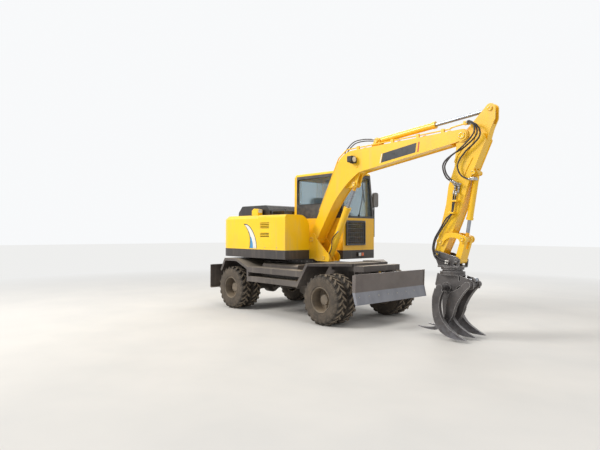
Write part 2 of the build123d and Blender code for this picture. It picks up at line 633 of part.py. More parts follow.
# Dozer blade: a creased plate with end flanges, on two arms joined by a cross box
BLADE_THICK = 20.0
BLADE_TOE_X = 2050.0
BLADE_FLANGE = 12.0
BLADE_BOX_REAR_X = 1775.0
blade_line = [(BLADE_FACE_X - 18, BLADE_TOP), (BLADE_FACE_X + 12, BLADE_TOP - 4), (BLADE_FACE_X, BLADE_CREASE), (BLADE_TOE_X, BLADE_BOTTOM)]
with BuildPart() as dozer_blade:
    with BuildSketch(side(0)):
        Polygon(*sheet(blade_line[1:], -BLADE_THICK), align=None)
    extrude(amount=BLADE_HALF_WIDTH, both=True)
    for hand in (-1, 1):
        with BuildSketch(side(hand * (BLADE_HALF_WIDTH - BLADE_FLANGE / 2))):
            Polygon(
                (BLADE_FACE_X - 45, BLADE_TOP - 20),
                (BLADE_FACE_X + 22, BLADE_TOP),
                (BLADE_FACE_X + 12, BLADE_CREASE),
                (BLADE_TOE_X + 8, BLADE_BOTTOM),
                (BLADE_TOE_X - 40, BLADE_BOTTOM + 10),
                (BLADE_FACE_X - 45, BLADE_CREASE),
                align=None,
            )
        extrude(amount=BLADE_FLANGE / 2, both=True)
        with BuildSketch(side(hand * BLADE_ARM_Y)):
            Polygon(
                (BLADE_PIVOT[0], BLADE_PIVOT[1] + 46),
                (BLADE_FACE_X - BLADE_THICK / 2, BLADE_CREASE + 40),
                (BLADE_FACE_X - BLADE_THICK / 2, BLADE_CREASE - 30),
                (BLADE_FACE_X + 5, BLADE_BOTTOM + 90),
                (BLADE_PIVOT[0], BLADE_PIVOT[1] - 46),
                align=None,
            )
            with Locations(BLADE_PIVOT):
                Circle(50)
        extrude(amount=BLADE_ARM_THICK / 2, both=True)
        with BuildSketch(side(hand * BLADE_ARM_Y)):
            with Locations(BLADE_PIVOT):
                Circle(BLADE_PIN_RADIUS + PIN_FIT)
        extrude(amount=BLADE_ARM_THICK, both=True, mode=Mode.SUBTRACT)
        with BuildSketch(side(hand * (BLADE_HALF_WIDTH - 330))):
            Polygon(
                (BLADE_FACE_X - BLADE_THICK / 2, BLADE_TOP - 60),
                (BLADE_FACE_X - BLADE_THICK / 2, BLADE_CREASE + 10),
                (BLADE_FACE_X - BLADE_THICK - 12, BLADE_CREASE + 40),
                align=None,
            )
        extrude(amount=6, both=True)
    with BuildSketch(side(0)):
        Polygon(
            (BLADE_BOX_REAR_X, BLADE_CREASE - 5),
            (BLADE_FACE_X - BLADE_THICK / 2, BLADE_CREASE + 5),
            (BLADE_FACE_X - BLADE_THICK / 2, BLADE_CREASE - 70),
            (BLADE_BOX_REAR_X, BLADE_CREASE - 115),
            align=None,
        )
    extrude(amount=BLADE_ARM_Y, both=True)
    for ear_side in (-1, 1):
        with BuildSketch(side(ear_side * (CYLINDER_EYE / 2 + SIDE_FIT + 8))):
            Polygon(
                (BLADE_CYL_HEAD[0], BLADE_CYL_HEAD[1] + 34),
                (BLADE_BOX_REAR_X + 10, BLADE_CREASE - 15),
                (BLADE_BOX_REAR_X + 10, BLADE_CREASE - 110),
                (BLADE_CYL_HEAD[0], BLADE_CYL_HEAD[1] - 34),
                align=None,
            )
            with Locations(BLADE_CYL_HEAD):
                Circle(34)
        extrude(amount=8, both=True)
        with BuildSketch(side(ear_side * (CYLINDER_EYE / 2 + SIDE_FIT + 20))):
            with Locations(BLADE_CYL_HEAD):
                Circle(SMALL_PIN)
        extrude(amount=6, both=True)
dozer_blade.part.label = "dozer_blade"
export_step(dozer_blade.part, "parts/dozer_blade.step")

# Hydraulic cylinders: each a barrel with a foot eye and a bored gland, and a rod with a head eye
BARREL_SIDES = 24
cylinders = (
    # name, foot pin, head pin, Y, barrel end from the foot, barrel radius, rod radius, rod length,
    # eye radius, pin radius
    ("blade", BLADE_CYL_FOOT, BLADE_CYL_HEAD, 0.0, 250.0, 42.0, 22.0, 312.0, 34.0, SMALL_PIN),
    ("boom", BOOM_CYL_FOOT, BOOM_CYL_HEAD, ARM_Y, 1048.0, 65.0, 30.0, 1080.0, 52.0, LARGE_PIN),
    ("stick", STICK_CYL_FOOT, STICK_CYL_HEAD, ARM_Y, 1136.0, 52.0, 30.0, 1180.0, 50.0, LARGE_PIN),
    ("bucket", BUCKET_CYL_FOOT, LINK_PIN, ARM_Y, 700.0, 46.0, 27.0, 580.0, 46.0, LARGE_PIN),
    ("jaw", JAW_CYL_FOOT, JAW_CYL_HEAD, ARM_Y, 232.0, 32.0, 18.0, 235.0, 30.0, SMALL_PIN),
)
for name, foot, head, centre_y, barrel_end, barrel_radius, rod_radius, rod_length, eye_radius, pin_radius in cylinders:
    span = direction(foot, head)[0]
    rod_inner = span - rod_length
    with BuildPart() as barrel:
        with BuildSketch(side(centre_y)):
            with Locations(foot):
                Circle(eye_radius)
        extrude(amount=CYLINDER_EYE / 2, both=True)
        with BuildSketch(rod_plane(foot, head, eye_radius - 6, centre_y)):
            RegularPolygon(barrel_radius, BARREL_SIDES)
        extrude(amount=barrel_end - eye_radius + 6)
        with BuildSketch(rod_plane(foot, head, barrel_end - 0.9 * barrel_radius, centre_y)):
            RegularPolygon(barrel_radius + 6, BARREL_SIDES)
        extrude(amount=0.9 * barrel_radius)
        with BuildSketch(side(centre_y)):
            with Locations(foot):
                Circle(pin_radius + PIN_FIT)
        extrude(amount=2 * barrel_radius, both=True, mode=Mode.SUBTRACT)
        with BuildSketch(side(centre_y + CYLINDER_EYE / 2)):
            with Locations(foot):
                Circle(eye_radius + EAR_RELIEF)
        extrude(amount=-2 * barrel_radius, mode=Mode.SUBTRACT)
        with BuildSketch(side(centre_y - CYLINDER_EYE / 2)):
            with Locations(foot):
                Circle(eye_radius + EAR_RELIEF)
        extrude(amount=2 * barrel_radius, mode=Mode.SUBTRACT)
        with BuildSketch(rod_plane(foot, head, pin_radius + 12, centre_y)):
            Circle(rod_radius + PIN_FIT)
        extrude(amount=span, mode=Mode.SUBTRACT)
    barrel.part.label = f"{name}_cylinder"
    export_step(barrel.part, f"parts/{name}_cylinder.step")

    with BuildPart() as rod:
        with BuildSketch(rod_plane(foot, head, rod_inner, centre_y)):
            Circle(rod_radius)
        extrude(amount=rod_length)
        with BuildSketch(side(centre_y)):
            with Locations(head):
                Circle(eye_radius)
        extrude(amount=CYLINDER_EYE / 2, both=True)
        with BuildSketch(side(centre_y)):
            with Locations(head):
                Circle(pin_radius)
        extrude(amount=CYLINDER_EYE, both=True, mode=Mode.SUBTRACT)
    rod.part.label = f"{name}_rod"
    export_step(rod.part, f"parts/{name}_rod.step")

# Upper machine: a deck with the cab floor and the upper race of the slewing ring
NOSE_BOTTOM = 1040.0
NOSE_PLATE = 24.0
NOSE_START = 500.0
NOSE_RISE_X = 420.0
NOSE_REAR_X = 60.0
PIN_END = 4.0
TANK_INNER_Y = -378.0
TAIL_ROUND = 330.0
FOOT_EAR = BOOM_WIDTH / 2 + SIDE_FIT
with BuildPart() as swing_frame:
    with BuildSketch(top(DECK_BOTTOM)) as deck:
        Polygon(
            (TAIL_X, -BODY_HALF_WIDTH),
            (TANK_FRONT_X, -BODY_HALF_WIDTH),
            (TANK_FRONT_X, CAB_RIGHT_Y),
            (CAB_FRONT_X, CAB_RIGHT_Y),
            (CAB_FRONT_X, CAB_LEFT_Y),
            (CAB_REAR_X, CAB_LEFT_Y),
            (CAB_REAR_X, BODY_HALF_WIDTH),
            (TAIL_X, BODY_HALF_WIDTH),
            align=None,
        )
        fillet(deck.vertices().group_by(Axis.X)[0], radius=TAIL_ROUND)
    extrude(amount=DECK_TOP - DECK_BOTTOM)
    with BuildSketch(top(RACE_TOP + REST_FIT)):
        with Locations((SWING_X, 0)):
            Circle(RING_RADIUS - 20)
    extrude(amount=DECK_BOTTOM - RACE_TOP - REST_FIT)
swing_frame.part.label = "swing_frame"
export_step(swing_frame.part, "parts/swing_frame.step")

# Nose in front of the deck: two plates that hold the boom, and the ears of the boom cylinder
with BuildPart() as boom_nose:
    for ear_side in (-1, 1):
        with BuildSketch(side(ARM_Y + ear_side * (FOOT_EAR + NOSE_PLATE / 2))):
            with BuildLine():
                Line((NOSE_REAR_X, DECK_TOP), (BOOM_FOOT[0] - 95, BOOM_FOOT[1] + 30))
                ThreePointArc(
                    (BOOM_FOOT[0] - 95, BOOM_FOOT[1] + 30),
                    (BOOM_FOOT[0] + 20, BOOM_FOOT[1] + 118),
                    (BOOM_FOOT[0] + 118, BOOM_FOOT[1] + 20),
                )
                Line((BOOM_FOOT[0] + 118, BOOM_FOOT[1] + 20), (BOOM_CYL_FOOT[0] + 60, BOOM_CYL_FOOT[1] + 110))
                ThreePointArc(
                    (BOOM_CYL_FOOT[0] + 60, BOOM_CYL_FOOT[1] + 110),
                    (BOOM_CYL_FOOT[0] + 130, BOOM_CYL_FOOT[1] + 40),
                    (BOOM_CYL_FOOT[0] + 120, NOSE_BOTTOM),
                )
                Line((BOOM_CYL_FOOT[0] + 120, NOSE_BOTTOM), (NOSE_START, NOSE_BOTTOM))
                Line((NOSE_START, NOSE_BOTTOM), (NOSE_RISE_X, DECK_BOTTOM))
                Line((NOSE_RISE_X, DECK_BOTTOM), (TANK_FRONT_X, DECK_BOTTOM))
                Line((TANK_FRONT_X, DECK_BOTTOM), (TANK_FRONT_X, DECK_TOP))
                Line((TANK_FRONT_X, DECK_TOP), (NOSE_REAR_X, DECK_TOP))
            make_face()
        extrude(amount=NOSE_PLATE / 2, both=True)
    with BuildSketch(side(ARM_Y)):
        Polygon(
            (TANK_FRONT_X, DECK_BOTTOM),
            (NOSE_RISE_X, DECK_BOTTOM),
            (NOSE_START, NOSE_BOTTOM),
            (BOOM_CYL_FOOT[0] + 110, NOSE_BOTTOM),
            (BOOM_CYL_FOOT[0] + 110, NOSE_BOTTOM + PLATE),
            (BOOM_CYL_FOOT[0] - 120, NOSE_BOTTOM + PLATE),
            (BOOM_CYL_FOOT[0] - 160, DECK_TOP - 80),
            (TANK_FRONT_X, DECK_TOP - 60),
            align=None,
        )
    extrude(amount=FOOT_EAR, both=True)
    for ear_side in (-1, 1):
        with BuildSketch(side(ARM_Y + ear_side * (CYLINDER_EYE / 2 + SIDE_FIT + 12))):
            Polygon(
                (BOOM_CYL_FOOT[0] - 150, NOSE_BOTTOM + 5),
                (BOOM_CYL_FOOT[0] - 150, BOOM_CYL_FOOT[1] + 15),
                (BOOM_CYL_FOOT[0] - 50, BOOM_CYL_FOOT[1] + 30),
                (BOOM_CYL_FOOT[0], BOOM_CYL_FOOT[1] + 62),
                (BOOM_CYL_FOOT[0] + 62, BOOM_CYL_FOOT[1]),
                (BOOM_CYL_FOOT[0] + 90, NOSE_BOTTOM + 5),
                align=None,
            )
        extrude(amount=12, both=True)
    with BuildSketch(side(ARM_Y)):
        with Locations(BOOM_CYL_FOOT):
            Circle(LARGE_PIN)
    extrude(amount=CYLINDER_EYE / 2 + SIDE_FIT + 30, both=True)
    with BuildSketch(side(ARM_Y)):
        with Locations(BOOM_FOOT):
            Circle(BOOM_PIN)
    extrude(amount=FOOT_EAR + NOSE_PLATE + PIN_END, both=True)
boom_nose.part.label = "boom_nose"
export_step(boom_nose.part, "parts/boom_nose.step")

# Counterweight at the tail, with the engine housing stepped over it
WEIGHT_TOP = 1560.0
WEIGHT_FRONT_X = -1400.0
with BuildPart() as counterweight:
    with BuildSketch(top(DECK_TOP)) as casting:
        Polygon(
            (TAIL_X, -BODY_HALF_WIDTH),
            (WEIGHT_FRONT_X, -BODY_HALF_WIDTH),
            (WEIGHT_FRONT_X, BODY_HALF_WIDTH),
            (TAIL_X, BODY_HALF_WIDTH),
            align=None,
        )
        fillet(casting.vertices().group_by(Axis.X)[0], radius=TAIL_ROUND)
    extrude(amount=WEIGHT_TOP - DECK_TOP)
counterweight.part.label = "counterweight"
export_step(counterweight.part, "parts/counterweight.step")

# The body's section on the right, with its large curved inner shoulder
SHOULDER_Z = 1660.0
SHOULDER_Y = -600.0
BODY_EDGE = 60.0
with BuildSketch() as body_section:
    with BuildLine():
        Line((-BODY_HALF_WIDTH, DECK_TOP), (TANK_INNER_Y, DECK_TOP))
        Line((TANK_INNER_Y, DECK_TOP), (TANK_INNER_Y, SHOULDER_Z))
        ThreePointArc(
            (TANK_INNER_Y, SHOULDER_Z),
            (0.7 * TANK_INNER_Y + 0.3 * SHOULDER_Y, 0.3 * SHOULDER_Z + 0.7 * BODY_TOP),
            (SHOULDER_Y, BODY_TOP),
        )
        Line((SHOULDER_Y, BODY_TOP), (-BODY_HALF_WIDTH + BODY_EDGE, BODY_TOP))
        ThreePointArc(
            (-BODY_HALF_WIDTH + BODY_EDGE, BODY_TOP),
            (-BODY_HALF_WIDTH + 0.3 * BODY_EDGE, BODY_TOP - 0.3 * BODY_EDGE),
            (-BODY_HALF_WIDTH, BODY_TOP - BODY_EDGE),
        )
        Line((-BODY_HALF_WIDTH, BODY_TOP - BODY_EDGE), (-BODY_HALF_WIDTH, DECK_TOP))
    make_face()

HOUSING_WALL = 18.0
HOUSING_FRONT_X = -520.0
TANK_REAR_X = -150.0
HOUSING_ROUND = 70.0
LOUVRE_X = -317.0
LOUVRE_LENGTH = 280.0
LOUVRE_HEIGHT = 16.0
louvre_rows = (
    # bottom of the row, number of slots
    (1486.0, 3),
    (1656.0, 4),
)
with BuildPart() as engine_housing:
    with BuildSketch(top(DECK_TOP)) as plan:
        Polygon(
            (TAIL_X, -BODY_HALF_WIDTH),
            (HOUSING_FRONT_X, -BODY_HALF_WIDTH),
            (HOUSING_FRONT_X, BODY_HALF_WIDTH),
            (TAIL_X, BODY_HALF_WIDTH),
            align=None,
        )
        fillet(plan.vertices().group_by(Axis.X)[0], radius=TAIL_ROUND)
    extrude(amount=BODY_TOP - DECK_TOP)
    chamfer(engine_housing.edges().group_by(Axis.Z)[-1].sort_by(Axis.X)[0], length=HOUSING_ROUND)
    with BuildSketch(front(HOUSING_FRONT_X)):
        add(body_section.sketch_local)
    extrude(amount=TANK_REAR_X - REST_FIT - HOUSING_FRONT_X)
    with BuildSketch(top(DECK_TOP)) as hollow:
        Polygon(
            (TAIL_X + HOUSING_WALL, -BODY_HALF_WIDTH + HOUSING_WALL),
            (TANK_REAR_X - HOUSING_WALL, -BODY_HALF_WIDTH + HOUSING_WALL),
            (TANK_REAR_X - HOUSING_WALL, SHOULDER_Y),
            (HOUSING_FRONT_X - HOUSING_WALL, SHOULDER_Y),
            (HOUSING_FRONT_X - HOUSING_WALL, BODY_HALF_WIDTH - HOUSING_WALL),
            (TAIL_X + HOUSING_WALL, BODY_HALF_WIDTH - HOUSING_WALL),
            align=None,
        )
        fillet(hollow.vertices().group_by(Axis.X)[0], radius=TAIL_ROUND - HOUSING_WALL)
    extrude(amount=BODY_TOP - DECK_TOP - HOUSING_WALL - HOUSING_ROUND, mode=Mode.SUBTRACT)
    with BuildSketch(side(0)):
        Polygon(
            (TAIL_X - 10, DECK_TOP - 10),
            (WEIGHT_FRONT_X + REST_FIT, DECK_TOP - 10),
            (WEIGHT_FRONT_X + REST_FIT, WEIGHT_TOP + REST_FIT),
            (TAIL_X - 10, WEIGHT_TOP + REST_FIT),
            align=None,
        )
    extrude(amount=BODY_HALF_WIDTH + 10, both=True, mode=Mode.SUBTRACT)
    with BuildSketch(side(-BODY_HALF_WIDTH + 2 * HOUSING_WALL)):
        for row_bottom, slots in louvre_rows:
            for slot in range(slots):
                with Locations((LOUVRE_X, row_bottom + (slot + 0.5) * 2 * LOUVRE_HEIGHT)):
                    Rectangle(LOUVRE_LENGTH, LOUVRE_HEIGHT)
    extrude(amount=3 * HOUSING_WALL, mode=Mode.SUBTRACT)
engine_housing.part.label = "engine_housing"
export_step(engine_housing.part, "parts/engine_housing.step")

ENGINE_FRONT_X = -720.0
ENGINE_TOP = 1690.0
with BuildPart() as engine_block:
    with BuildSketch(side(0)):
        Polygon(
            (WEIGHT_FRONT_X + 60, DECK_TOP),
            (ENGINE_FRONT_X, DECK_TOP),
            (ENGINE_FRONT_X, ENGINE_TOP - 90),
            (ENGINE_FRONT_X - 100, ENGINE_TOP),
            (WEIGHT_FRONT_X + 60, ENGINE_TOP),
            align=None,
        )
    extrude(amount=500, both=True)
engine_block.part.label = "engine_block"
export_step(engine_block.part, "parts/engine_block.step")

HOOD_HEIGHT = 225.0
HOOD_TOP = BODY_TOP + HOOD_HEIGHT
with BuildPart() as engine_hood:
    with BuildSketch(side(0)) as hood_side:
        Polygon(
            (-1740, BODY_TOP),
            (-650, BODY_TOP),
            (-650, HOOD_TOP - HOOD_HEIGHT / 2),
            (-740, HOOD_TOP),
            (-1600, HOOD_TOP),
            (-1730, HOOD_TOP - 0.6 * HOOD_HEIGHT),
            align=None,
        )
        fillet(hood_side.vertices().group_by(Axis.Y)[-1], radius=0.3 * HOOD_HEIGHT)
    extrude(amount=600, both=True)
engine_hood.part.label = "engine_hood"
export_step(engine_hood.part, "parts/engine_hood.step")

# Fuel and oil tank on the right
with BuildPart() as right_tank:
    with BuildSketch(front(TANK_REAR_X)):
        add(body_section.sketch_local)
    extrude(amount=TANK_FRONT_X - TANK_REAR_X)
right_tank.part.label = "right_tank"
export_step(right_tank.part, "parts/right_tank.step")

# Cab: a hollow shell with window and door openings, a roof, panes, a guard and a door on two hinges
CAB_SILL = 1870.0
SCREEN_TOP_X = 800.0
CAB_WALL_TOP = CAB_ROOF - ROOF_THICK
DOOR_REAR_X = -110.0
DOOR_FRONT_X = 760.0
DOOR_BOTTOM = DECK_TOP + WALL
DOOR_TOP = CAB_WALL_TOP - 50
DOOR_GAP = 6.0
HINGE_RADIUS = 16.0
HINGE_PIN = 8.0
HINGE_X = DOOR_REAR_X
HINGE_Y = CAB_LEFT_Y + HINGE_RADIUS + 2
PANE = 6.0
hinge_heights = (1560.0, 2320.0)
side_windows = (
    # side, rear X, front X, bottom, top
    (-1, CAB_REAR_X + 90, SCREEN_TOP_X - 100, 2160.0, CAB_WALL_TOP - 60),
    (1, CAB_REAR_X + 60, DOOR_REAR_X - 60, 1950.0, CAB_WALL_TOP - 60),
)
screen = (CAB_RIGHT_Y + 50, CAB_LEFT_Y - 50, CAB_SILL + 30, CAB_WALL_TOP - 60)
low_screen = (20.0, 560.0, 1350.0, 1810.0)
rear_window = (60.0, 760.0, 2150.0, CAB_WALL_TOP - 60)
with BuildPart() as cab_shell:
    with BuildSketch(side(CAB_LEFT_Y)):
        Polygon(
            (CAB_REAR_X, DECK_TOP),
            (CAB_FRONT_X, DECK_TOP),
            (CAB_FRONT_X, CAB_SILL),
            (SCREEN_TOP_X, CAB_WALL_TOP),
            (CAB_REAR_X, CAB_WALL_TOP),
            align=None,
        )
    extrude(amount=CAB_LEFT_Y - CAB_RIGHT_Y)
    with BuildSketch(side(CAB_LEFT_Y - WALL)):
        Polygon(
            (CAB_REAR_X + WALL, DECK_TOP + WALL),
            (CAB_FRONT_X - WALL, DECK_TOP + WALL),
            (CAB_FRONT_X - WALL, CAB_SILL),
            (SCREEN_TOP_X - WALL, CAB_WALL_TOP + 1),
            (CAB_REAR_X + WALL, CAB_WALL_TOP + 1),
            align=None,
        )
    extrude(amount=CAB_LEFT_Y - CAB_RIGHT_Y - 2 * WALL, mode=Mode.SUBTRACT)
    for hand, rear_x, front_x, bottom, window_top in side_windows:
        wall_y = CAB_LEFT_Y if hand > 0 else CAB_RIGHT_Y + WALL
        with BuildSketch(side(wall_y + 1)):
            with Locations(((rear_x + front_x) / 2, (bottom + window_top) / 2)):
                RectangleRounded(front_x - rear_x, window_top - bottom, 40)
        extrude(amount=WALL + 2, mode=Mode.SUBTRACT)
    with BuildSketch(front(SCREEN_TOP_X - WALL - 20)):
        with Locations(((screen[0] + screen[1]) / 2, (screen[2] + screen[3]) / 2)):
            Rectangle(screen[1] - screen[0], screen[3] - screen[2])
    extrude(amount=CAB_FRONT_X - SCREEN_TOP_X + WALL + 40, mode=Mode.SUBTRACT)
    with BuildSketch(front(CAB_FRONT_X - WALL - 1)):
        with Locations(((low_screen[0] + low_screen[1]) / 2, (low_screen[2] + low_screen[3]) / 2)):
            RectangleRounded(low_screen[1] - low_screen[0], low_screen[3] - low_screen[2], 30)
    extrude(amount=WALL + 2, mode=Mode.SUBTRACT)
    with BuildSketch(front(CAB_REAR_X - 1)):
        with Locations(((rear_window[0] + rear_window[1]) / 2, (rear_window[2] + rear_window[3]) / 2)):
            RectangleRounded(rear_window[1] - rear_window[0], rear_window[3] - rear_window[2], 40)
    extrude(amount=WALL + 2, mode=Mode.SUBTRACT)
    with BuildSketch(side(CAB_LEFT_Y + 1)):
        with Locations(((DOOR_REAR_X + DOOR_FRONT_X) / 2, (DOOR_BOTTOM + DOOR_TOP) / 2)):
            Rectangle(DOOR_FRONT_X - DOOR_REAR_X, DOOR_TOP - DOOR_BOTTOM)
    extrude(amount=WALL + 2, mode=Mode.SUBTRACT)
    for height in hinge_heights:
        with BuildSketch(top(height - 60)):
            with Locations((HINGE_X - 20, (CAB_LEFT_Y + HINGE_Y) / 2)):
                Rectangle(40, HINGE_Y - CAB_LEFT_Y + 2 * HINGE_RADIUS - 14)
            with Locations((HINGE_X, HINGE_Y)):
                Circle(HINGE_RADIUS)
        extrude(amount=30)
        with BuildSketch(top(height - 60)):
            with Locations((HINGE_X, HINGE_Y)):
                Circle(HINGE_PIN)
        extrude(amount=90)
cab_shell.part.label = "cab_shell"
export_step(cab_shell.part, "parts/cab_shell.step")

with BuildPart() as cab_roof:
    with BuildSketch(top(CAB_WALL_TOP)) as roof_plan:
        Polygon(
            (CAB_REAR_X - 20, CAB_RIGHT_Y + 5),
            (SCREEN_TOP_X + 30, CAB_RIGHT_Y + 5),
            (SCREEN_TOP_X + 30, CAB_LEFT_Y + 5),
            (CAB_REAR_X - 20, CAB_LEFT_Y + 5),
            align=None,
        )
        fillet(roof_plan.vertices(), radius=70)
    extrude(amount=CAB_ROOF - CAB_WALL_TOP)
    chamfer(cab_roof.faces().sort_by(Axis.Z)[-1].edges(), length=22)
cab_roof.part.label = "cab_roof"
export_step(cab_roof.part, "parts/cab_roof.step")

with BuildPart() as cab_glass:
    for hand, rear_x, front_x, bottom, window_top in side_windows:
        wall_y = CAB_LEFT_Y - WALL / 2 if hand > 0 else CAB_RIGHT_Y + WALL / 2
        with BuildSketch(side(wall_y)):
            with Locations(((rear_x + front_x) / 2, (bottom + window_top) / 2)):
                RectangleRounded(front_x - rear_x - 2 * REST_FIT, window_top - bottom - 2 * REST_FIT, 40)
        extrude(amount=PANE / 2, both=True)
    lean = (CAB_FRONT_X - SCREEN_TOP_X) / (CAB_WALL_TOP - CAB_SILL)
    with BuildSketch(side((screen[0] + screen[1]) / 2)):
        low_x = CAB_FRONT_X - WALL / 2 - lean * (screen[2] + REST_FIT - CAB_SILL)
        high_x = CAB_FRONT_X - WALL / 2 - lean * (screen[3] - REST_FIT - CAB_SILL)
        Polygon(
            (low_x - PANE / 2, screen[2] + REST_FIT),
            (low_x + PANE / 2, screen[2] + REST_FIT),
            (high_x + PANE / 2, screen[3] - REST_FIT),
            (high_x - PANE / 2, screen[3] - REST_FIT),
            align=None,
        )
    extrude(amount=(screen[1] - screen[0]) / 2 - REST_FIT, both=True)
    for pane_x, pane in ((CAB_FRONT_X - WALL / 2, low_screen), (CAB_REAR_X + WALL / 2, rear_window)):
        with BuildSketch(front(pane_x)):
            with Locations(((pane[0] + pane[1]) / 2, (pane[2] + pane[3]) / 2)):
                RectangleRounded(pane[1] - pane[0] - 2 * REST_FIT, pane[3] - pane[2] - 2 * REST_FIT, 40)
        extrude(amount=PANE / 2, both=True)
cab_glass.part.label = "cab_glass"
export_step(cab_glass.part, "parts/cab_glass.step")

DOOR_WINDOW_BOTTOM = 1900.0
with BuildPart() as cab_door:
    with BuildSketch(side(CAB_LEFT_Y)):
        with Locations(((DOOR_REAR_X + DOOR_FRONT_X) / 2, (DOOR_BOTTOM + DOOR_TOP) / 2)):
            Rectangle(DOOR_FRONT_X - DOOR_REAR_X - 2 * DOOR_GAP, DOOR_TOP - DOOR_BOTTOM - 2 * DOOR_GAP)
        with Locations(((DOOR_REAR_X + DOOR_FRONT_X) / 2, (DOOR_WINDOW_BOTTOM + DOOR_TOP - 60) / 2)):
            RectangleRounded(
                DOOR_FRONT_X - DOOR_REAR_X - 140, DOOR_TOP - 60 - DOOR_WINDOW_BOTTOM, 40, mode=Mode.SUBTRACT
            )
    extrude(amount=WALL)
    with BuildSketch(side(CAB_LEFT_Y + 14)):
        with Locations((DOOR_FRONT_X - 60, 1780)):
            RectangleRounded(30, 130, 8)
    extrude(amount=16)
    for height in hinge_heights:
        with BuildSketch(top(height - 60 + 30 + REST_FIT)):
            with Locations((HINGE_X + 26, (CAB_LEFT_Y + HINGE_Y) / 2)):
                Rectangle(52, HINGE_Y - CAB_LEFT_Y + 2 * HINGE_RADIUS - 14)
            with Locations((HINGE_X, HINGE_Y)):
                Circle(HINGE_RADIUS)
            with Locations((HINGE_X, HINGE_Y)):
                Circle(HINGE_PIN + PIN_FIT, mode=Mode.SUBTRACT)
        extrude(amount=60)
cab_door.part.label = "cab_door"
export_step(cab_door.part, "parts/cab_door.step")

with BuildPart() as door_glass:
    with BuildSketch(side(CAB_LEFT_Y - WALL / 2)):
        with Locations(((DOOR_REAR_X + DOOR_FRONT_X) / 2, (DOOR_WINDOW_BOTTOM + DOOR_TOP - 60) / 2)):
            RectangleRounded(
                DOOR_FRONT_X - DOOR_REAR_X - 140 - 2 * REST_FIT, DOOR_TOP - 60 - DOOR_WINDOW_BOTTOM - 2 * REST_FIT, 40
            )
    extrude(amount=PANE / 2, both=True)
door_glass.part.label = "door_glass"
export_step(door_glass.part, "parts/door_glass.step")

# Guard grille over the low front window
GUARD_BAR = 12.0
guard = (10.0, 570.0, 1340.0, 1820.0)
with BuildPart() as cab_guard:
    with BuildSketch(front(CAB_FRONT_X + 8)):
        with Locations(((guard[0] + guard[1]) / 2, (guard[2] + guard[3]) / 2)):
            Rectangle(guard[1] - guard[0], guard[3] - guard[2])
            Rectangle(guard[1] - guard[0] - 56, guard[3] - guard[2] - 56, mode=Mode.SUBTRACT)
    extrude(amount=26)
    with BuildSketch(front(CAB_FRONT_X + 14)):
        for bar in range(1, 9):
            with Locations((guard[0] + bar * (guard[1] - guard[0]) / 9, (guard[2] + guard[3]) / 2)):
                Rectangle(GUARD_BAR, guard[3] - guard[2] - 50)
        for bar in range(1, 6):
            with Locations(((guard[0] + guard[1]) / 2, guard[2] + bar * (guard[3] - guard[2]) / 6)):
                Rectangle(guard[1] - guard[0] - 50, GUARD_BAR)
    extrude(amount=GUARD_BAR)
    for foot_y in (guard[0] + 20, guard[1] - 20):
        for foot_z in (guard[2] + 20, guard[3] - 20):
            with BuildSketch(front(CAB_FRONT_X)):
                with Locations((foot_y, foot_z)):
                    Rectangle(30, 30)
            extrude(amount=10)
cab_guard.part.label = "cab_guard"
export_step(cab_guard.part, "parts/cab_guard.step")

# Inside the cab: the seat on its pedestal, the lever consoles and the steering column
SEAT_Y = (CAB_RIGHT_Y + CAB_LEFT_Y) / 2
SEAT_X = -20.0
SEAT_BASE = 1700.0
CAB_FLOOR = DECK_TOP + WALL
COLUMN_X = 640.0
with BuildPart() as operator_seat:
    with BuildSketch(side(SEAT_Y)) as cushion:
        Polygon(
            (SEAT_X - 250, SEAT_BASE),
            (SEAT_X + 260, SEAT_BASE),
            (SEAT_X + 270, SEAT_BASE + 110),
            (SEAT_X - 150, SEAT_BASE + 130),
            (SEAT_X - 220, SEAT_BASE + 640),
            (SEAT_X - 330, SEAT_BASE + 640),
            align=None,
        )
        fillet(cushion.vertices(), radius=28)
    extrude(amount=240, both=True)
operator_seat.part.label = "operator_seat"
export_step(operator_seat.part, "parts/operator_seat.step")

with BuildPart() as control_stand:
    with BuildSketch(front(SEAT_X - 200)):
        Polygon(
            (SEAT_Y - 230, CAB_FLOOR),
            (SEAT_Y + 230, CAB_FLOOR),
            (SEAT_Y + 190, SEAT_BASE - REST_FIT),
            (SEAT_Y - 190, SEAT_BASE - REST_FIT),
            align=None,
        )
    extrude(amount=420)
    for hand in (-1, 1):
        with BuildSketch(side(SEAT_Y + hand * 300)):
            Polygon(
                (SEAT_X - 200, CAB_FLOOR),
                (SEAT_X + 230, CAB_FLOOR),
                (SEAT_X + 230, 1800),
                (SEAT_X + 290, 1860),
                (SEAT_X + 250, 1890),
                (SEAT_X - 200, 1850),
                align=None,
            )
        extrude(amount=50, both=True)
        with BuildSketch(top(1860)):
            with Locations((SEAT_X + 180, SEAT_Y + hand * 300)):
                RegularPolygon(12, 8)
        extrude(amount=150)
        with BuildSketch(top(2000)):
            with Locations((SEAT_X + 180, SEAT_Y + hand * 300)):
                RegularPolygon(22, 10)
        extrude(amount=70, taper=6)
    with BuildSketch(top(CAB_FLOOR)):
        with Locations((COLUMN_X, SEAT_Y)):
            Circle(60)
    extrude(amount=26)
    with BuildSketch(Plane(origin=(MID_X + COLUMN_X, SEAT_Y, CAB_FLOOR + 12), x_dir=(0, 1, 0), z_dir=(-0.26, 0, 0.966))):
        Circle(40)
    extrude(amount=642)
    with BuildSketch(Plane(origin=(MID_X + COLUMN_X - 167, SEAT_Y, CAB_FLOOR + 620), x_dir=(0, 1, 0), z_dir=(-0.26, 0, 0.966))):
        RegularPolygon(180, 24)
        RegularPolygon(152, 24, mode=Mode.SUBTRACT)
        Rectangle(320, 30)
        Circle(50)
    extrude(amount=28)
control_stand.part.label = "control_stand"
export_step(control_stand.part, "parts/control_stand.step")

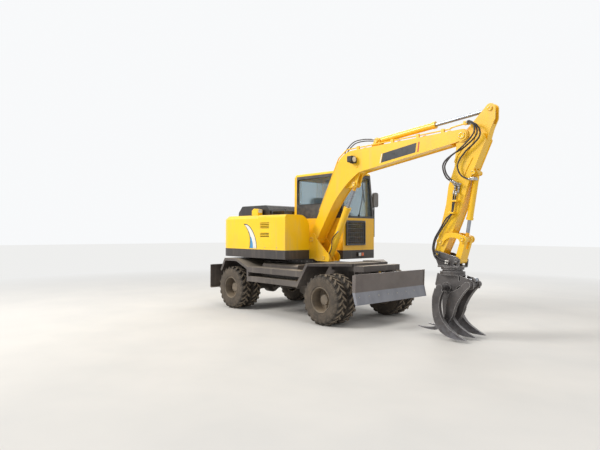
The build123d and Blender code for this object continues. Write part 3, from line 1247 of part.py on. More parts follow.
# Handrails, the mirror on its arm, and the lamps on the body
RAIL_RADIUS = 14.0
with BuildPart() as handrails:
    for rail_x, rail_y in ((CAB_FRONT_X - 40, CAB_LEFT_Y), (DOOR_REAR_X - 60, CAB_LEFT_Y)):
        with BuildSketch(top(1500)):
            with Locations((rail_x, rail_y + 50)):
                RegularPolygon(RAIL_RADIUS, 8)
        extrude(amount=620)
        for foot_z in (1515, 2105):
            with BuildSketch(side(rail_y)):
                with Locations((rail_x, foot_z)):
                    RegularPolygon(RAIL_RADIUS - 2, 8)
            extrude(amount=-50)
    with BuildSketch(top(BODY_TOP + 70)):
        with Locations((TANK_FRONT_X - 300, -BODY_HALF_WIDTH + 100)):
            RectangleRounded(420, 2 * RAIL_RADIUS, RAIL_RADIUS - 1)
    extrude(amount=2 * RAIL_RADIUS)
    for post_x in (TANK_FRONT_X - 490, TANK_FRONT_X - 110):
        with BuildSketch(top(BODY_TOP)):
            with Locations((post_x, -BODY_HALF_WIDTH + 100)):
                RegularPolygon(RAIL_RADIUS - 2, 8)
        extrude(amount=80)
handrails.part.label = "handrails"
export_step(handrails.part, "parts/handrails.step")

with BuildPart() as side_mirror:
    with BuildSketch(side(CAB_LEFT_Y)):
        with Locations((CAB_FRONT_X - 70, 2330)):
            Circle(12)
    extrude(amount=-110)
    with BuildSketch(side(CAB_LEFT_Y + 100)):
        with Locations((CAB_FRONT_X - 70, 2300)):
            Rectangle(30, 100)
    extrude(amount=-20)
    with BuildSketch(front(CAB_FRONT_X - 90)):
        with Locations((CAB_LEFT_Y + 125, 2260)):
            RectangleRounded(150, 300, 50)
    extrude(amount=45)
side_mirror.part.label = "mirror"
export_step(side_mirror.part, "parts/mirror.step")

LAMP_X = -941.0
LAMP_HEIGHT = 155.0
with BuildPart() as body_lamps:
    with BuildSketch(top(BODY_TOP)):
        with Locations((LAMP_X, -700)):
            Rectangle(170, 110)
    extrude(amount=LAMP_HEIGHT - 130)
    with BuildSketch(side(-640)):
        with Locations((LAMP_X, BODY_TOP + LAMP_HEIGHT - 65)):
            Polygon((-102, -70), (102, -70), (102, 45), (-30, 65), (-102, 20), align=None)
    extrude(amount=120)
    with BuildSketch(front(CAB_FRONT_X)):
        with Locations((440, (DECK_BOTTOM + DECK_TOP) / 2)):
            RectangleRounded(190, 84, 14)
    extrude(amount=26)
body_lamps.part.label = "body_lamps"
export_step(body_lamps.part, "parts/body_lamps.step")

# Boom: a knuckled box with proud side plates, a fork at the tip and ears for its cylinders
SKIN = 14.0
EDGE = 16.0
FORK_DEPTH = 270.0
EAR = 24.0
EYE_POCKET = 130.0
EYE_EAR = CYLINDER_EYE / 2 + SIDE_FIT + EAR / 2
boom_back = (970.0, 2790.0)
boom_crest = (1365.0, 3063.0)
boom_belly_front = (1530.0, 2660.0)
boom_belly_rear = (823.0, 1992.0)

# The boom's side plate: straight leg, round knuckle, straight front part.
with BuildSketch() as boom_outline:
    with BuildLine():
        Line((BOOM_FOOT[0] - 78, BOOM_FOOT[1] + 55), boom_back)
        ThreePointArc(boom_back, (1134, 2983), boom_crest)
        Line(boom_crest, (BOOM_TIP[0] - 20, BOOM_TIP[1] + 98))
        Line((BOOM_TIP[0] - 20, BOOM_TIP[1] + 98), (BOOM_TIP[0] + 60, BOOM_TIP[1]))
        Line((BOOM_TIP[0] + 60, BOOM_TIP[1]), (BOOM_TIP[0] - 87, BOOM_TIP[1] - 87))
        Line((BOOM_TIP[0] - 87, BOOM_TIP[1] - 87), boom_belly_front)
        ThreePointArc(boom_belly_front, (1130, 2365), boom_belly_rear)
        Line(boom_belly_rear, (BOOM_FOOT[0] + 82, BOOM_FOOT[1] - 45))
        Line((BOOM_FOOT[0] + 82, BOOM_FOOT[1] - 45), (BOOM_FOOT[0] - 78, BOOM_FOOT[1] + 55))
    make_face()

with BuildPart() as boom:
    with BuildSketch(side(ARM_Y)):
        add(boom_outline.sketch_local)
        offset(amount=-EDGE, kind=Kind.INTERSECTION)
    extrude(amount=BOOM_WIDTH / 2 - SKIN, both=True)
    with BuildSketch(side(ARM_Y)):
        with Locations(BOOM_TIP):
            Circle(FORK_DEPTH)
    extrude(amount=BOOM_WIDTH / 2 - SKIN, both=True, mode=Mode.SUBTRACT)
    with BuildSketch(side(ARM_Y)):
        with Locations(BOOM_CYL_HEAD):
            Circle(EYE_POCKET)
    extrude(amount=CYLINDER_EYE / 2 + SIDE_FIT, both=True, mode=Mode.SUBTRACT)
    for hand in (-1, 1):
        with BuildSketch(side(ARM_Y + hand * (BOOM_WIDTH - SKIN) / 2)):
            add(boom_outline.sketch_local)
            with Locations(BOOM_TIP):
                Circle(BOOM_PIN + 53)
        extrude(amount=SKIN / 2, both=True)
        with BuildSketch(side(ARM_Y + hand * BOOM_WIDTH / 2)):
            with Locations(BOOM_TIP):
                Circle(BOOM_PIN + 35)
        extrude(amount=-hand * 16)
    with BuildSketch(side(ARM_Y)):
        with Locations(BOOM_FOOT):
            Circle(BOOM_PIN + 50)
    extrude(amount=BOOM_WIDTH / 2, both=True)
    with BuildSketch(side(ARM_Y)):
        with Locations(BOOM_FOOT):
            Circle(BOOM_PIN + PIN_FIT)
    extrude(amount=BOOM_WIDTH, both=True, mode=Mode.SUBTRACT)
    with BuildSketch(side(ARM_Y)):
        with Locations(BOOM_TIP):
            Circle(BOOM_PIN)
    extrude(amount=BOOM_WIDTH / 2 + 10, both=True)
    for hand in (-1, 1):
        with BuildSketch(side(ARM_Y + hand * EYE_EAR)):
            Polygon((1120, 2400), (1330, 2405), (1435, 2480), (1500, 2670), (1300, 2660), (1150, 2480), align=None)
            with Locations(BOOM_CYL_HEAD):
                Circle(LARGE_PIN + 32)
            Polygon(
                (STICK_CYL_FOOT[0] - 140, 3055),
                (STICK_CYL_FOOT[0] - 50, STICK_CYL_FOOT[1] + 15),
                (STICK_CYL_FOOT[0] + 40, STICK_CYL_FOOT[1] + 15),
                (STICK_CYL_FOOT[0] + 105, 3055),
                align=None,
            )
            with Locations(STICK_CYL_FOOT):
                Circle(LARGE_PIN + 24)
        extrude(amount=EAR / 2, both=True)
        with BuildSketch(side(ARM_Y + hand * (EYE_EAR + EAR / 2))):
            with Locations(BOOM_CYL_HEAD):
                Circle(LARGE_PIN)
        extrude(amount=-hand * 10)
    with BuildSketch(side(ARM_Y)):
        with Locations(STICK_CYL_FOOT):
            Circle(LARGE_PIN)
    extrude(amount=EYE_EAR + EAR / 2 + 10, both=True)
boom.part.label = "boom"
export_step(boom.part, "parts/boom.step")

# Steel oil pipes in clamps along the boom's back
PIPE_RADIUS = 11.0
PIPE_Y = 95.0
CLAMP_HEIGHT = 62.0
boom_back_end = (BOOM_TIP[0] - 20, BOOM_TIP[1] + 98)
BACK_SLOPE = math.degrees(math.atan2(boom_back_end[1] - boom_crest[1], boom_back_end[0] - boom_crest[0]))
with BuildPart() as boom_pipes:
    for hand in (-1, 1):
        with BuildLine() as pipe_run:
            FilletPolyline(
                (MID_X + 517, ARM_Y + hand * PIPE_Y, 2000),
                (MID_X + 1018, ARM_Y + hand * PIPE_Y, 2957),
                (MID_X + 1215, ARM_Y + hand * PIPE_Y, 3097),
                (MID_X + 3300, ARM_Y + hand * PIPE_Y, 3160),
                radius=150,
            )
        with BuildSketch(Plane(origin=pipe_run.line @ 0, z_dir=pipe_run.line % 0)):
            RegularPolygon(PIPE_RADIUS, 8)
        sweep(path=pipe_run.line)
        for clamp_x in (1500, 2250, 2750, 3200):
            with BuildSketch(side(ARM_Y + hand * PIPE_Y)):
                with Locations(along(boom_crest, boom_back_end, clamp_x - boom_crest[0])):
                    Rectangle(50, CLAMP_HEIGHT, rotation=BACK_SLOPE, align=(Align.CENTER, Align.MIN))
            extrude(amount=20, both=True)
boom_pipes.part.label = "boom_pipes"
export_step(boom_pipes.part, "parts/boom_pipes.step")

with BuildPart() as work_lamp:
    with BuildSketch(side(ARM_Y - BOOM_WIDTH / 2)):
        with Locations((1429, 2860)):
            RectangleRounded(110, 70, 12)
    extrude(amount=60)
    with BuildSketch(front(1375)):
        with Locations((ARM_Y - BOOM_WIDTH / 2 - 80, 2895)):
            RectangleRounded(110, 110, 20)
    extrude(amount=100)
work_lamp.part.label = "work_lamp"
export_step(work_lamp.part, "parts/work_lamp.step")

# Stick: a tapered box with proud side plates, a two-plate horn and the pins for the grab linkage
STICK_HALF = STICK_WIDTH / 2
LINK_PLATE = 24.0
CHANNEL_RADIUS = 62.0
CHANNEL_LENGTH = 420.0
LINK_EAR = STICK_HALF + SIDE_FIT + LINK_PLATE

# The stick's side plate, from the head pin up to the boom's tip.
with BuildSketch() as stick_outline:
    with BuildLine():
        Polyline(
            (HEAD_PIN[0] - 66, HEAD_PIN[1] + 20),
            (3108, 1457),
            (3172, 1693),
            (3256, 2015),
            (3299, 2300),
            (3400, 2577),
            (BOOM_TIP[0] - 100, BOOM_TIP[1] - 40),
            (BOOM_TIP[0] - 70, BOOM_TIP[1] + 76),
            (BOOM_TIP[0] + 60, BOOM_TIP[1] + 84),
            (3860, 3030),
            (3895, 2929),
            (3725, 2550),
            (3618, 2300),
            (3530, 2003),
            (3431, 1759),
            (3355, 1583),
            (HEAD_PIN[0] + 66, HEAD_PIN[1] - 22),
            (HEAD_PIN[0] - 66, HEAD_PIN[1] + 20),
        )
    make_face()

with BuildPart() as stick:
    with BuildSketch(side(ARM_Y)):
        add(stick_outline.sketch_local)
        offset(amount=-EDGE / 2, kind=Kind.INTERSECTION)
    extrude(amount=STICK_HALF - SKIN, both=True)
    with BuildSketch(rod_plane(BUCKET_CYL_FOOT, LINK_PIN, -CHANNEL_RADIUS, ARM_Y)):
        Circle(CHANNEL_RADIUS)
    extrude(amount=CHANNEL_LENGTH, mode=Mode.SUBTRACT)
    for hand in (-1, 1):
        with BuildSketch(side(ARM_Y + hand * (STICK_HALF - SKIN / 2))):
            add(stick_outline.sketch_local)
        extrude(amount=SKIN / 2, both=True)
        with BuildSketch(side(ARM_Y + hand * EYE_EAR)):
            Polygon(
                (3560, 3105),
                (STICK_CYL_HEAD[0] - 62, STICK_CYL_HEAD[1] + 42),
                (STICK_CYL_HEAD[0] + 30, STICK_CYL_HEAD[1] + 68),
                (FRONT_X, STICK_CYL_HEAD[1]),
                (FRONT_X - 3, 3225),
                (3946, 3089),
                (3895, 2929),
                (3700, 2850),
                align=None,
            )
            with Locations(STICK_CYL_HEAD):
                Circle(HORN_RADIUS)
            Polygon(
                (BUCKET_CYL_FOOT[0] - 150, BUCKET_CYL_FOOT[1] + 170),
                (BUCKET_CYL_FOOT[0] + 20, BUCKET_CYL_FOOT[1] + 60),
                (BUCKET_CYL_FOOT[0] + 48, BUCKET_CYL_FOOT[1]),
                (BUCKET_CYL_FOOT[0] + 5, BUCKET_CYL_FOOT[1] - 46),
                (BUCKET_CYL_FOOT[0] - 150, BUCKET_CYL_FOOT[1] - 95),
                align=None,
            )
        extrude(amount=EAR / 2, both=True)
        with BuildSketch(side(ARM_Y + hand * (EYE_EAR + EAR / 2))):
            with Locations(STICK_CYL_HEAD):
                Circle(LARGE_PIN)
        extrude(amount=-hand * 10)
    with BuildSketch(side(ARM_Y)):
        Polygon((3600, 3080), (3840, 3190), (3975, 3150), (3946, 3089), (3895, 2929), (3700, 2850), align=None)
    extrude(amount=EYE_EAR, both=True)
    with BuildSketch(side(ARM_Y)):
        with Locations(BUCKET_CYL_FOOT):
            Circle(62)
    extrude(amount=CYLINDER_EYE / 2 + SIDE_FIT, both=True, mode=Mode.SUBTRACT)
    with BuildSketch(side(ARM_Y)):
        with Locations(BUCKET_CYL_FOOT):
            Circle(LARGE_PIN)
    extrude(amount=EYE_EAR + EAR / 2 + 8, both=True)
    with BuildSketch(side(ARM_Y)):
        with Locations(BOOM_TIP):
            Circle(BOOM_PIN + 55)
        with Locations(HEAD_PIN):
            Circle(HEAD_BOSS)
    extrude(amount=STICK_HALF, both=True)
    with BuildSketch(side(ARM_Y)):
        with Locations(BOOM_TIP):
            Circle(BOOM_PIN + PIN_FIT)
    extrude(amount=STICK_WIDTH, both=True, mode=Mode.SUBTRACT)
    with BuildSketch(side(ARM_Y)):
        with Locations(HEAD_PIN, GUIDE_PIN):
            Circle(LARGE_PIN)
    extrude(amount=LINK_EAR + 8, both=True)
stick.part.label = "stick"
export_step(stick.part, "parts/stick.step")

# Guide links: two arched plates from the stick to the bucket cylinder's rod
with BuildPart() as guide_links:
    for hand in (-1, 1):
        with BuildSketch(side(ARM_Y + hand * (LINK_EAR - LINK_PLATE / 2))):
            with BuildLine():
                Line((GUIDE_PIN[0] - 10, GUIDE_PIN[1] + 54), (GUIDE_PIN[0] + 60, GUIDE_PIN[1] + 110))
                ThreePointArc(
                    (GUIDE_PIN[0] + 60, GUIDE_PIN[1] + 110),
                    (GUIDE_PIN[0] + 190, GUIDE_PIN[1] + 138),
                    (LINK_PIN[0] - 50, LINK_PIN[1] + 80),
                )
                Line((LINK_PIN[0] - 50, LINK_PIN[1] + 80), (LINK_PIN[0], LINK_PIN[1] + 56))
                Line((LINK_PIN[0], LINK_PIN[1] + 56), (LINK_PIN[0] - 10, LINK_PIN[1] - 54))
                ThreePointArc(
                    (LINK_PIN[0] - 10, LINK_PIN[1] - 54),
                    (GUIDE_PIN[0] + 195, GUIDE_PIN[1] + 66),
                    (GUIDE_PIN[0] + 30, GUIDE_PIN[1] - 48),
                )
                Line((GUIDE_PIN[0] + 30, GUIDE_PIN[1] - 48), (GUIDE_PIN[0] - 10, GUIDE_PIN[1] + 54))
            make_face()
            with Locations(GUIDE_PIN, LINK_PIN):
                Circle(LARGE_PIN + 28)
            with Locations(GUIDE_PIN):
                Circle(LARGE_PIN + PIN_FIT, mode=Mode.SUBTRACT)
        extrude(amount=LINK_PLATE / 2, both=True)
        with BuildSketch(side(ARM_Y + hand * LINK_EAR)):
            with Locations(LINK_PIN):
                Circle(LARGE_PIN)
        extrude(amount=-hand * 12)
guide_links.part.label = "guide_links"
export_step(guide_links.part, "parts/guide_links.step")

# Straight link: a box forked round the rod's eye, with a cross tube on the head's pin
LINK_HALF = STICK_HALF - 1
FORK_INNER = CYLINDER_EYE / 2 + SIDE_FIT
with BuildPart() as straight_link:
    link_up = direction(HEAD_LINK_PIN, LINK_PIN)[1]
    across = (link_up[1] * 44, -link_up[0] * 44)
    with BuildSketch(side(ARM_Y)):
        Polygon(
            (HEAD_LINK_PIN[0] - across[0], HEAD_LINK_PIN[1] - across[1]),
            (HEAD_LINK_PIN[0] + across[0], HEAD_LINK_PIN[1] + across[1]),
            (LINK_PIN[0] + across[0], LINK_PIN[1] + across[1]),
            (LINK_PIN[0] - across[0], LINK_PIN[1] - across[1]),
            align=None,
        )
        with Locations(LINK_PIN, HEAD_LINK_PIN):
            Circle(50)
    extrude(amount=LINK_HALF, both=True)
    with BuildSketch(side(ARM_Y)):
        with Locations(LINK_PIN):
            Circle(150)
    extrude(amount=FORK_INNER, both=True, mode=Mode.SUBTRACT)
    with BuildSketch(side(ARM_Y)):
        with Locations(HEAD_LINK_PIN):
            Circle(LARGE_PIN + PIN_FIT)
    extrude(amount=STICK_WIDTH, both=True, mode=Mode.SUBTRACT)
straight_link.part.label = "straight_link"
export_step(straight_link.part, "parts/straight_link.step")

# Grab head: two cheek plates on the stick's and the link's pins, over the rotary motor's flange
FLANGE = 24.0
with BuildPart() as grab_head:
    for hand in (-1, 1):
        with BuildSketch(side(ARM_Y + hand * (LINK_EAR - LINK_PLATE / 2))):
            Polygon(
                (HEAD_PIN[0] - 60, HEAD_PIN[1] + 15),
                (HEAD_PIN[0] - 20, HEAD_PIN[1] + 58),
                (HEAD_PIN[0] + 60, HEAD_PIN[1] + 40),
                (HEAD_LINK_PIN[0] + 10, HEAD_LINK_PIN[1] + 50),
                (HEAD_LINK_PIN[0] + 52, HEAD_LINK_PIN[1] + 10),
                (HEAD_LINK_PIN[0] + 40, RING_TOP + FLANGE - 4),
                (HEAD_PIN[0] + 20, RING_TOP + FLANGE - 4),
                align=None,
            )
            with Locations((HEAD_LINK_PIN[0] - 22, RING_TOP + FLANGE + 28)):
                Rectangle(50, 36, mode=Mode.SUBTRACT)
            with Locations(HEAD_PIN):
                Circle(LARGE_PIN + PIN_FIT, mode=Mode.SUBTRACT)
        extrude(amount=LINK_PLATE / 2, both=True)
    with BuildSketch(side(ARM_Y)):
        with Locations(HEAD_LINK_PIN):
            Circle(LARGE_PIN)
    extrude(amount=LINK_EAR + 8, both=True)
    with BuildSketch(top(RING_TOP)):
        with Locations((GRAB_X, ARM_Y)):
            Rectangle(330, 2 * LINK_EAR + 40)
            Circle(185)
    extrude(amount=FLANGE)
    with BuildSketch(top(RING_TOP + FLANGE - 2)):
        with Locations((GRAB_X - 30, ARM_Y)):
            Circle(78)
    extrude(amount=62)
grab_head.part.label = "grab_head"
export_step(grab_head.part, "parts/grab_head.step")

# Grab frame: the turning ring stack over two side plates with open jaws of their own
FRAME_Y = 88.0
FRAME_PLATE = 16.0
FRAME_BOSS = 18.0
RING_SIDES = 40
FRAME_TOP = 952.0
REAR_JOURNAL = 42.0
FRONT_JOURNAL = 38.0
ring_steps = (
    # bottom, top, radius
    (1030.0, RING_TOP - REST_FIT, 172.0),
    (1004.0, 1030.0, 150.0),
    (FRAME_TOP, 1004.0, 186.0),
)
with BuildPart() as grab_frame:
    for bottom, ring_top, radius in ring_steps:
        with BuildSketch(top(bottom)):
            with Locations((GRAB_X, ARM_Y)):
                RegularPolygon(radius, RING_SIDES)
        extrude(amount=ring_top - bottom)
    with BuildSketch(top(FRAME_TOP - 14)):
        with Locations(((3135 + 3478) / 2, ARM_Y)):
            Rectangle(3478 - 3135, 2 * FRAME_Y)
    extrude(amount=14)
    for hand in (-1, 1):
        with BuildSketch(side(ARM_Y + hand * (FRAME_Y + FRAME_PLATE / 2))):
            with BuildLine():
                Polyline(
                    (3150, 695),
                    (3066, 790),
                    (3105, 968),
                    (3462, 946),
                    (3466, 872),
                    (3490, 868),
                    (3496, 942),
                    (3640, 908),
                    (3700, 860),
                    (3700, 768),
                    (3610, 748),
                )
                ThreePointArc((3610, 748), (3520, 800), (3440, 775))
                ThreePointArc((3440, 775), (3400, 720), (3345, 695))
                Line((3345, 695), (3150, 695))
            make_face()
            with Locations(JAW_REAR_PIN):
                Circle(REAR_JOURNAL + PIN_FIT, mode=Mode.SUBTRACT)
            with Locations(JAW_FRONT_PIN):
                Circle(FRONT_JOURNAL + PIN_FIT, mode=Mode.SUBTRACT)
        extrude(amount=FRAME_PLATE / 2, both=True)
        with BuildSketch(side(ARM_Y + hand * (FRAME_Y + FRAME_PLATE))):
            with Locations(JAW_REAR_PIN):
                Circle(REAR_JOURNAL + 32)
                Circle(REAR_JOURNAL + PIN_FIT, mode=Mode.SUBTRACT)
        extrude(amount=-hand * FRAME_BOSS)
        with BuildSketch(side(ARM_Y + hand * FRAME_Y)):
            with Locations(JAW_FRONT_PIN):
                Circle(FRONT_JOURNAL + 26)
                Circle(FRONT_JOURNAL + PIN_FIT, mode=Mode.SUBTRACT)
        extrude(amount=hand * FRAME_BOSS)
grab_frame.part.label = "grab_frame"
export_step(grab_frame.part, "parts/grab_frame.step")


# Jaws: curved tines tapered to a point, on a cross tube with a pair of levers for the cylinder
# Side profile of a tine of the three-tine jaw.
with BuildSketch() as rear_tine:
    with BuildLine():
        Line((3196, 760), (3156, 640))
        ThreePointArc((3156, 640), (3148, 520), (3155, 400))
        ThreePointArc((3155, 400), (3196, 238), (3290, 120))
        ThreePointArc((3290, 120), (3400, 62), (3540, 40))
        Line((3540, 40), (3690, 40))
        Line((3690, 40), (3692, 48))
        ThreePointArc((3692, 48), (3600, 86), (3500, 140))
        ThreePointArc((3500, 140), (3385, 222), (3300, 345))
        ThreePointArc((3300, 345), (3272, 540), (3334, 720))
        Line((3334, 720), (3196, 760))
    make_face()


# Side profile of a tine of the two-tine jaw.
with BuildSketch() as front_tine:
    with BuildLine():
        Line((3600, 862), (3684, 812))
        ThreePointArc((3684, 812), (3538, 645), (3442, 470))
        ThreePointArc((3442, 470), (3392, 325), (3300, 205))
        ThreePointArc((3300, 205), (3205, 135), (3090, 98))
        ThreePointArc((3090, 98), (2940, 98), (2790, 122))
        Line((2790, 122), (2788, 130))
        ThreePointArc((2788, 130), (2940, 130), (3070, 148))
        ThreePointArc((3070, 148), (3215, 240), (3290, 380))
        ThreePointArc((3290, 380), (3306, 540), (3356, 690))
        ThreePointArc((3356, 690), (3480, 752), (3600, 862))
    make_face()


jaws = (
    # name, pin, journal radius, tube radius, tine offsets, profile, cylinder pin,
    # X where the taper starts, X of the tip
    ("jaw_rear", JAW_REAR_PIN, REAR_JOURNAL, 50.0, (-TINE_PITCH, 0.0, TINE_PITCH), rear_tine, JAW_CYL_FOOT, 3320.0, 3700.0),
    ("jaw_front", JAW_FRONT_PIN, FRONT_JOURNAL, 46.0, (-TINE_PITCH / 2, TINE_PITCH / 2), front_tine, JAW_CYL_HEAD, 3360.0, 2780.0),
)
TUBE_SIDES = 24
for name, pin, journal, tube, offsets, profile, lever_pin, taper_x, tip_x in jaws:
    outer = max(offsets)
    with BuildPart() as jaw:
        for tine_y in offsets:
            with BuildSketch(side(ARM_Y + tine_y)):
                add(profile.sketch_local)
                with Locations(pin):
                    RegularPolygon(tube + 4, TUBE_SIDES)
            extrude(amount=TINE_WIDTH / 2, both=True)
        with BuildSketch(top(0)) as taper:
            away = 1 if tip_x > taper_x else -1
            for tine_y in offsets:
                Polygon(
                    (taper_x - away * 900, ARM_Y + tine_y - TINE_WIDTH / 2 - 1),
                    (taper_x, ARM_Y + tine_y - TINE_WIDTH / 2 - 1),
                    (tip_x, ARM_Y + tine_y - TINE_WIDTH / 6),
                    (tip_x, ARM_Y + tine_y + TINE_WIDTH / 6),
                    (taper_x, ARM_Y + tine_y + TINE_WIDTH / 2 + 1),
                    (taper_x - away * 900, ARM_Y + tine_y + TINE_WIDTH / 2 + 1),
                    align=None,
                )
        extrude(amount=1000, mode=Mode.INTERSECT)
        with BuildSketch(side(ARM_Y)):
            with Locations(pin):
                RegularPolygon(tube, TUBE_SIDES)
        extrude(amount=FRAME_Y - FRAME_BOSS - SIDE_FIT, both=True)
        with BuildSketch(side(ARM_Y)):
            with Locations(pin):
                Circle(journal)
        extrude(amount=max(FRAME_Y + FRAME_PLATE + FRAME_BOSS, outer), both=True)
        for hand in (-1, 1):
            with BuildSketch(side(ARM_Y + hand * (EYE_EAR - 4))):
                reach = direction(pin, lever_pin)[1]
                Polygon(
                    (pin[0] - reach[1] * 44, pin[1] + reach[0] * 44),
                    (pin[0] + reach[1] * 44, pin[1] - reach[0] * 44),
                    (lever_pin[0] + reach[1] * 28, lever_pin[1] - reach[0] * 28),
                    (lever_pin[0] - reach[1] * 28, lever_pin[1] + reach[0] * 28),
                    align=None,
                )
                with Locations(lever_pin):
                    Circle(30)
            extrude(amount=8, both=True)
        with BuildSketch(side(ARM_Y)):
            with Locations(lever_pin):
                Circle(SMALL_PIN)
        extrude(amount=EYE_EAR + 12, both=True)
        if name == "jaw_front":
            with BuildSketch(side(ARM_Y)):
                with Locations(lever_pin):
                    Circle(SMALL_PIN + 4)
            extrude(amount=CYLINDER_EYE / 2 + SIDE_FIT, both=True, mode=Mode.SUBTRACT)
    jaw.part.label = name
    export_step(jaw.part, f"parts/{name}.step")
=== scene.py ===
import math

import bmesh
import bpy
from mathutils import Matrix, Vector
from mathutils.bvhtree import BVHTree


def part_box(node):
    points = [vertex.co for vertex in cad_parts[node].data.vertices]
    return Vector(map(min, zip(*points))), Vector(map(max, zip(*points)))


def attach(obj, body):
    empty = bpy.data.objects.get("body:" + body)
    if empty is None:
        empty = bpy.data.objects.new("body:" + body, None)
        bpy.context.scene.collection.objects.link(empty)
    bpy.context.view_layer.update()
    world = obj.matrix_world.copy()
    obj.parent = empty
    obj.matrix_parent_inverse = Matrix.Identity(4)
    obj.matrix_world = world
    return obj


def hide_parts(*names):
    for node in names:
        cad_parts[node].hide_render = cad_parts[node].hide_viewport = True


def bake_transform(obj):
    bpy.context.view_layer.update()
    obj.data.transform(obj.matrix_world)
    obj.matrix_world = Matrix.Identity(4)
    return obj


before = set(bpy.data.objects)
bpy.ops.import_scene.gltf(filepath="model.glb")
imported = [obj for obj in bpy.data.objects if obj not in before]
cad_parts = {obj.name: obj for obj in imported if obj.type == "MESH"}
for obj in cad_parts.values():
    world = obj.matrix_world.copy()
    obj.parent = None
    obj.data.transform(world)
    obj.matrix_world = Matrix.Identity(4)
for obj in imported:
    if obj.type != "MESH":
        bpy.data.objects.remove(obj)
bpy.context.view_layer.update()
SHIFT = -0.9615  # X of the middle of the wheelbase
ARM_Y = -0.22  # the arm's middle plane
AXLE_X = 1320  # half the wheelbase, in millimetres
TWIN_Y = 0.85  # the middle of each pair of wheels
TWIN_SHIFT = 0.1325  # from there to each tyre's middle
TYRE_R = 0.4325
TYRE_W = 0.235
LUGS = 22
# Each lug from the tread's middle outwards: distance across, sweep round, and height as a share of the radius
LUG_PATH = ((-0.008, 0.0, 1.0), (0.030, 0.034, 1.0), (0.062, 0.060, 1.0), (0.096, 0.078, 0.985), (0.1165, 0.086, 0.87))
HOSE_R = 0.0118
BODY_SIDE = 1.0  # the body's half width
CAB_LEFT = 0.871  # the cab's left side, with the door
CAB_FRONT = -0.0615
SEAT_Y = 0.405
PRINT = 0.0012  # how far a printed panel stands out
SIDES = ((-1, "right"), (1, "left"))


def P(x, z, y=ARM_Y):
    """A side-view point in millimetres, from the middle of the wheelbase, as a point of the row frame."""
    return Vector((x / 1000 + SHIFT, y, z / 1000))


# Camera, light, floor
camera_data = bpy.data.cameras.new("camera")
camera_data.sensor_width = 36.0
camera_data.lens = 29.78
camera = bpy.data.objects.new("camera", camera_data)
bpy.context.scene.collection.objects.link(camera)
pitch = 0.016
look = Vector((-0.735 * math.cos(pitch), 0.678 * math.cos(pitch), math.sin(pitch))).normalized()
right = look.cross(Vector((0, 0, 1))).normalized()
up = right.cross(look)
roll = Matrix.Rotation(-0.004, 3, look)
right, up = roll @ right, roll @ up
camera.matrix_world = Matrix(
    (
        (right.x, up.x, -look.x, 7.302 + SHIFT),
        (right.y, up.y, -look.y, -7.081),
        (right.z, up.z, -look.z, 1.575),
        (0, 0, 0, 1),
    )
)
bpy.context.scene.camera = camera
bpy.context.scene.view_settings.view_transform = "Standard"


def light(name, place, target, size, power, colour=(1, 1, 1)):
    data = bpy.data.lights.new(name, "AREA")
    data.shape = "RECTANGLE"
    data.size, data.size_y = size
    data.energy = power
    data.color = colour
    obj = bpy.data.objects.new(name, data)
    bpy.context.scene.collection.objects.link(obj)
    obj.location = place
    obj.rotation_euler = (Vector(target) - Vector(place)).to_track_quat("-Z", "Y").to_euler()


light("key", (-6.0, -11.0, 9.5), (-0.5, 0, 1.0), (5, 5), 1650, (1.0, 0.985, 0.95))
light("front_fill", (9.0, -3.0, 5.0), (0, 0, 1.2), (5, 4), 120)
light("back_fill", (-4.0, 9.0, 6.0), (0, 0, 1.2), (6, 4), 380)
light("overhead", (0.0, 0.5, 10.0), (0, 0, 0), (9, 9), 420)

# The camera and reflections see a pale sky; the object is lit by a plain grey one
world = bpy.data.worlds.new("world")
bpy.context.scene.world = world
world.use_nodes = True
sky = world.node_tree.nodes
back = sky["Background"]
back.inputs["Color"].default_value = (0.86, 0.88, 0.9, 1)
back.inputs["Strength"].default_value = 0.5
seen = sky.new("ShaderNodeBackground")
seen.inputs["Color"].default_value = (0.94, 0.95, 0.96, 1)
seen.inputs["Strength"].default_value = 1.0
path = sky.new("ShaderNodeLightPath")
either = sky.new("ShaderNodeMath")
either.operation = "MAXIMUM"
any_of = sky.new("ShaderNodeMath")
any_of.operation = "MAXIMUM"
join = sky.new("ShaderNodeMixShader")
wires = world.node_tree.links
wires.new(path.outputs["Is Camera Ray"], either.inputs[0])
wires.new(path.outputs["Is Glossy Ray"], either.inputs[1])
wires.new(either.outputs[0], any_of.inputs[0])
wires.new(path.outputs["Is Transmission Ray"], any_of.inputs[1])
wires.new(any_of.outputs[0], join.inputs["Fac"])
wires.new(back.outputs[0], join.inputs[1])
wires.new(seen.outputs[0], join.inputs[2])
wires.new(join.outputs[0], sky["World Output"].inputs["Surface"])


# Materials
def srgb(r, g, b):
    def lin(v):
        v = v / 255
        return v / 12.92 if v <= 0.04045 else ((v + 0.055) / 1.055) ** 2.4

    return (lin(r), lin(g), lin(b), 1.0)


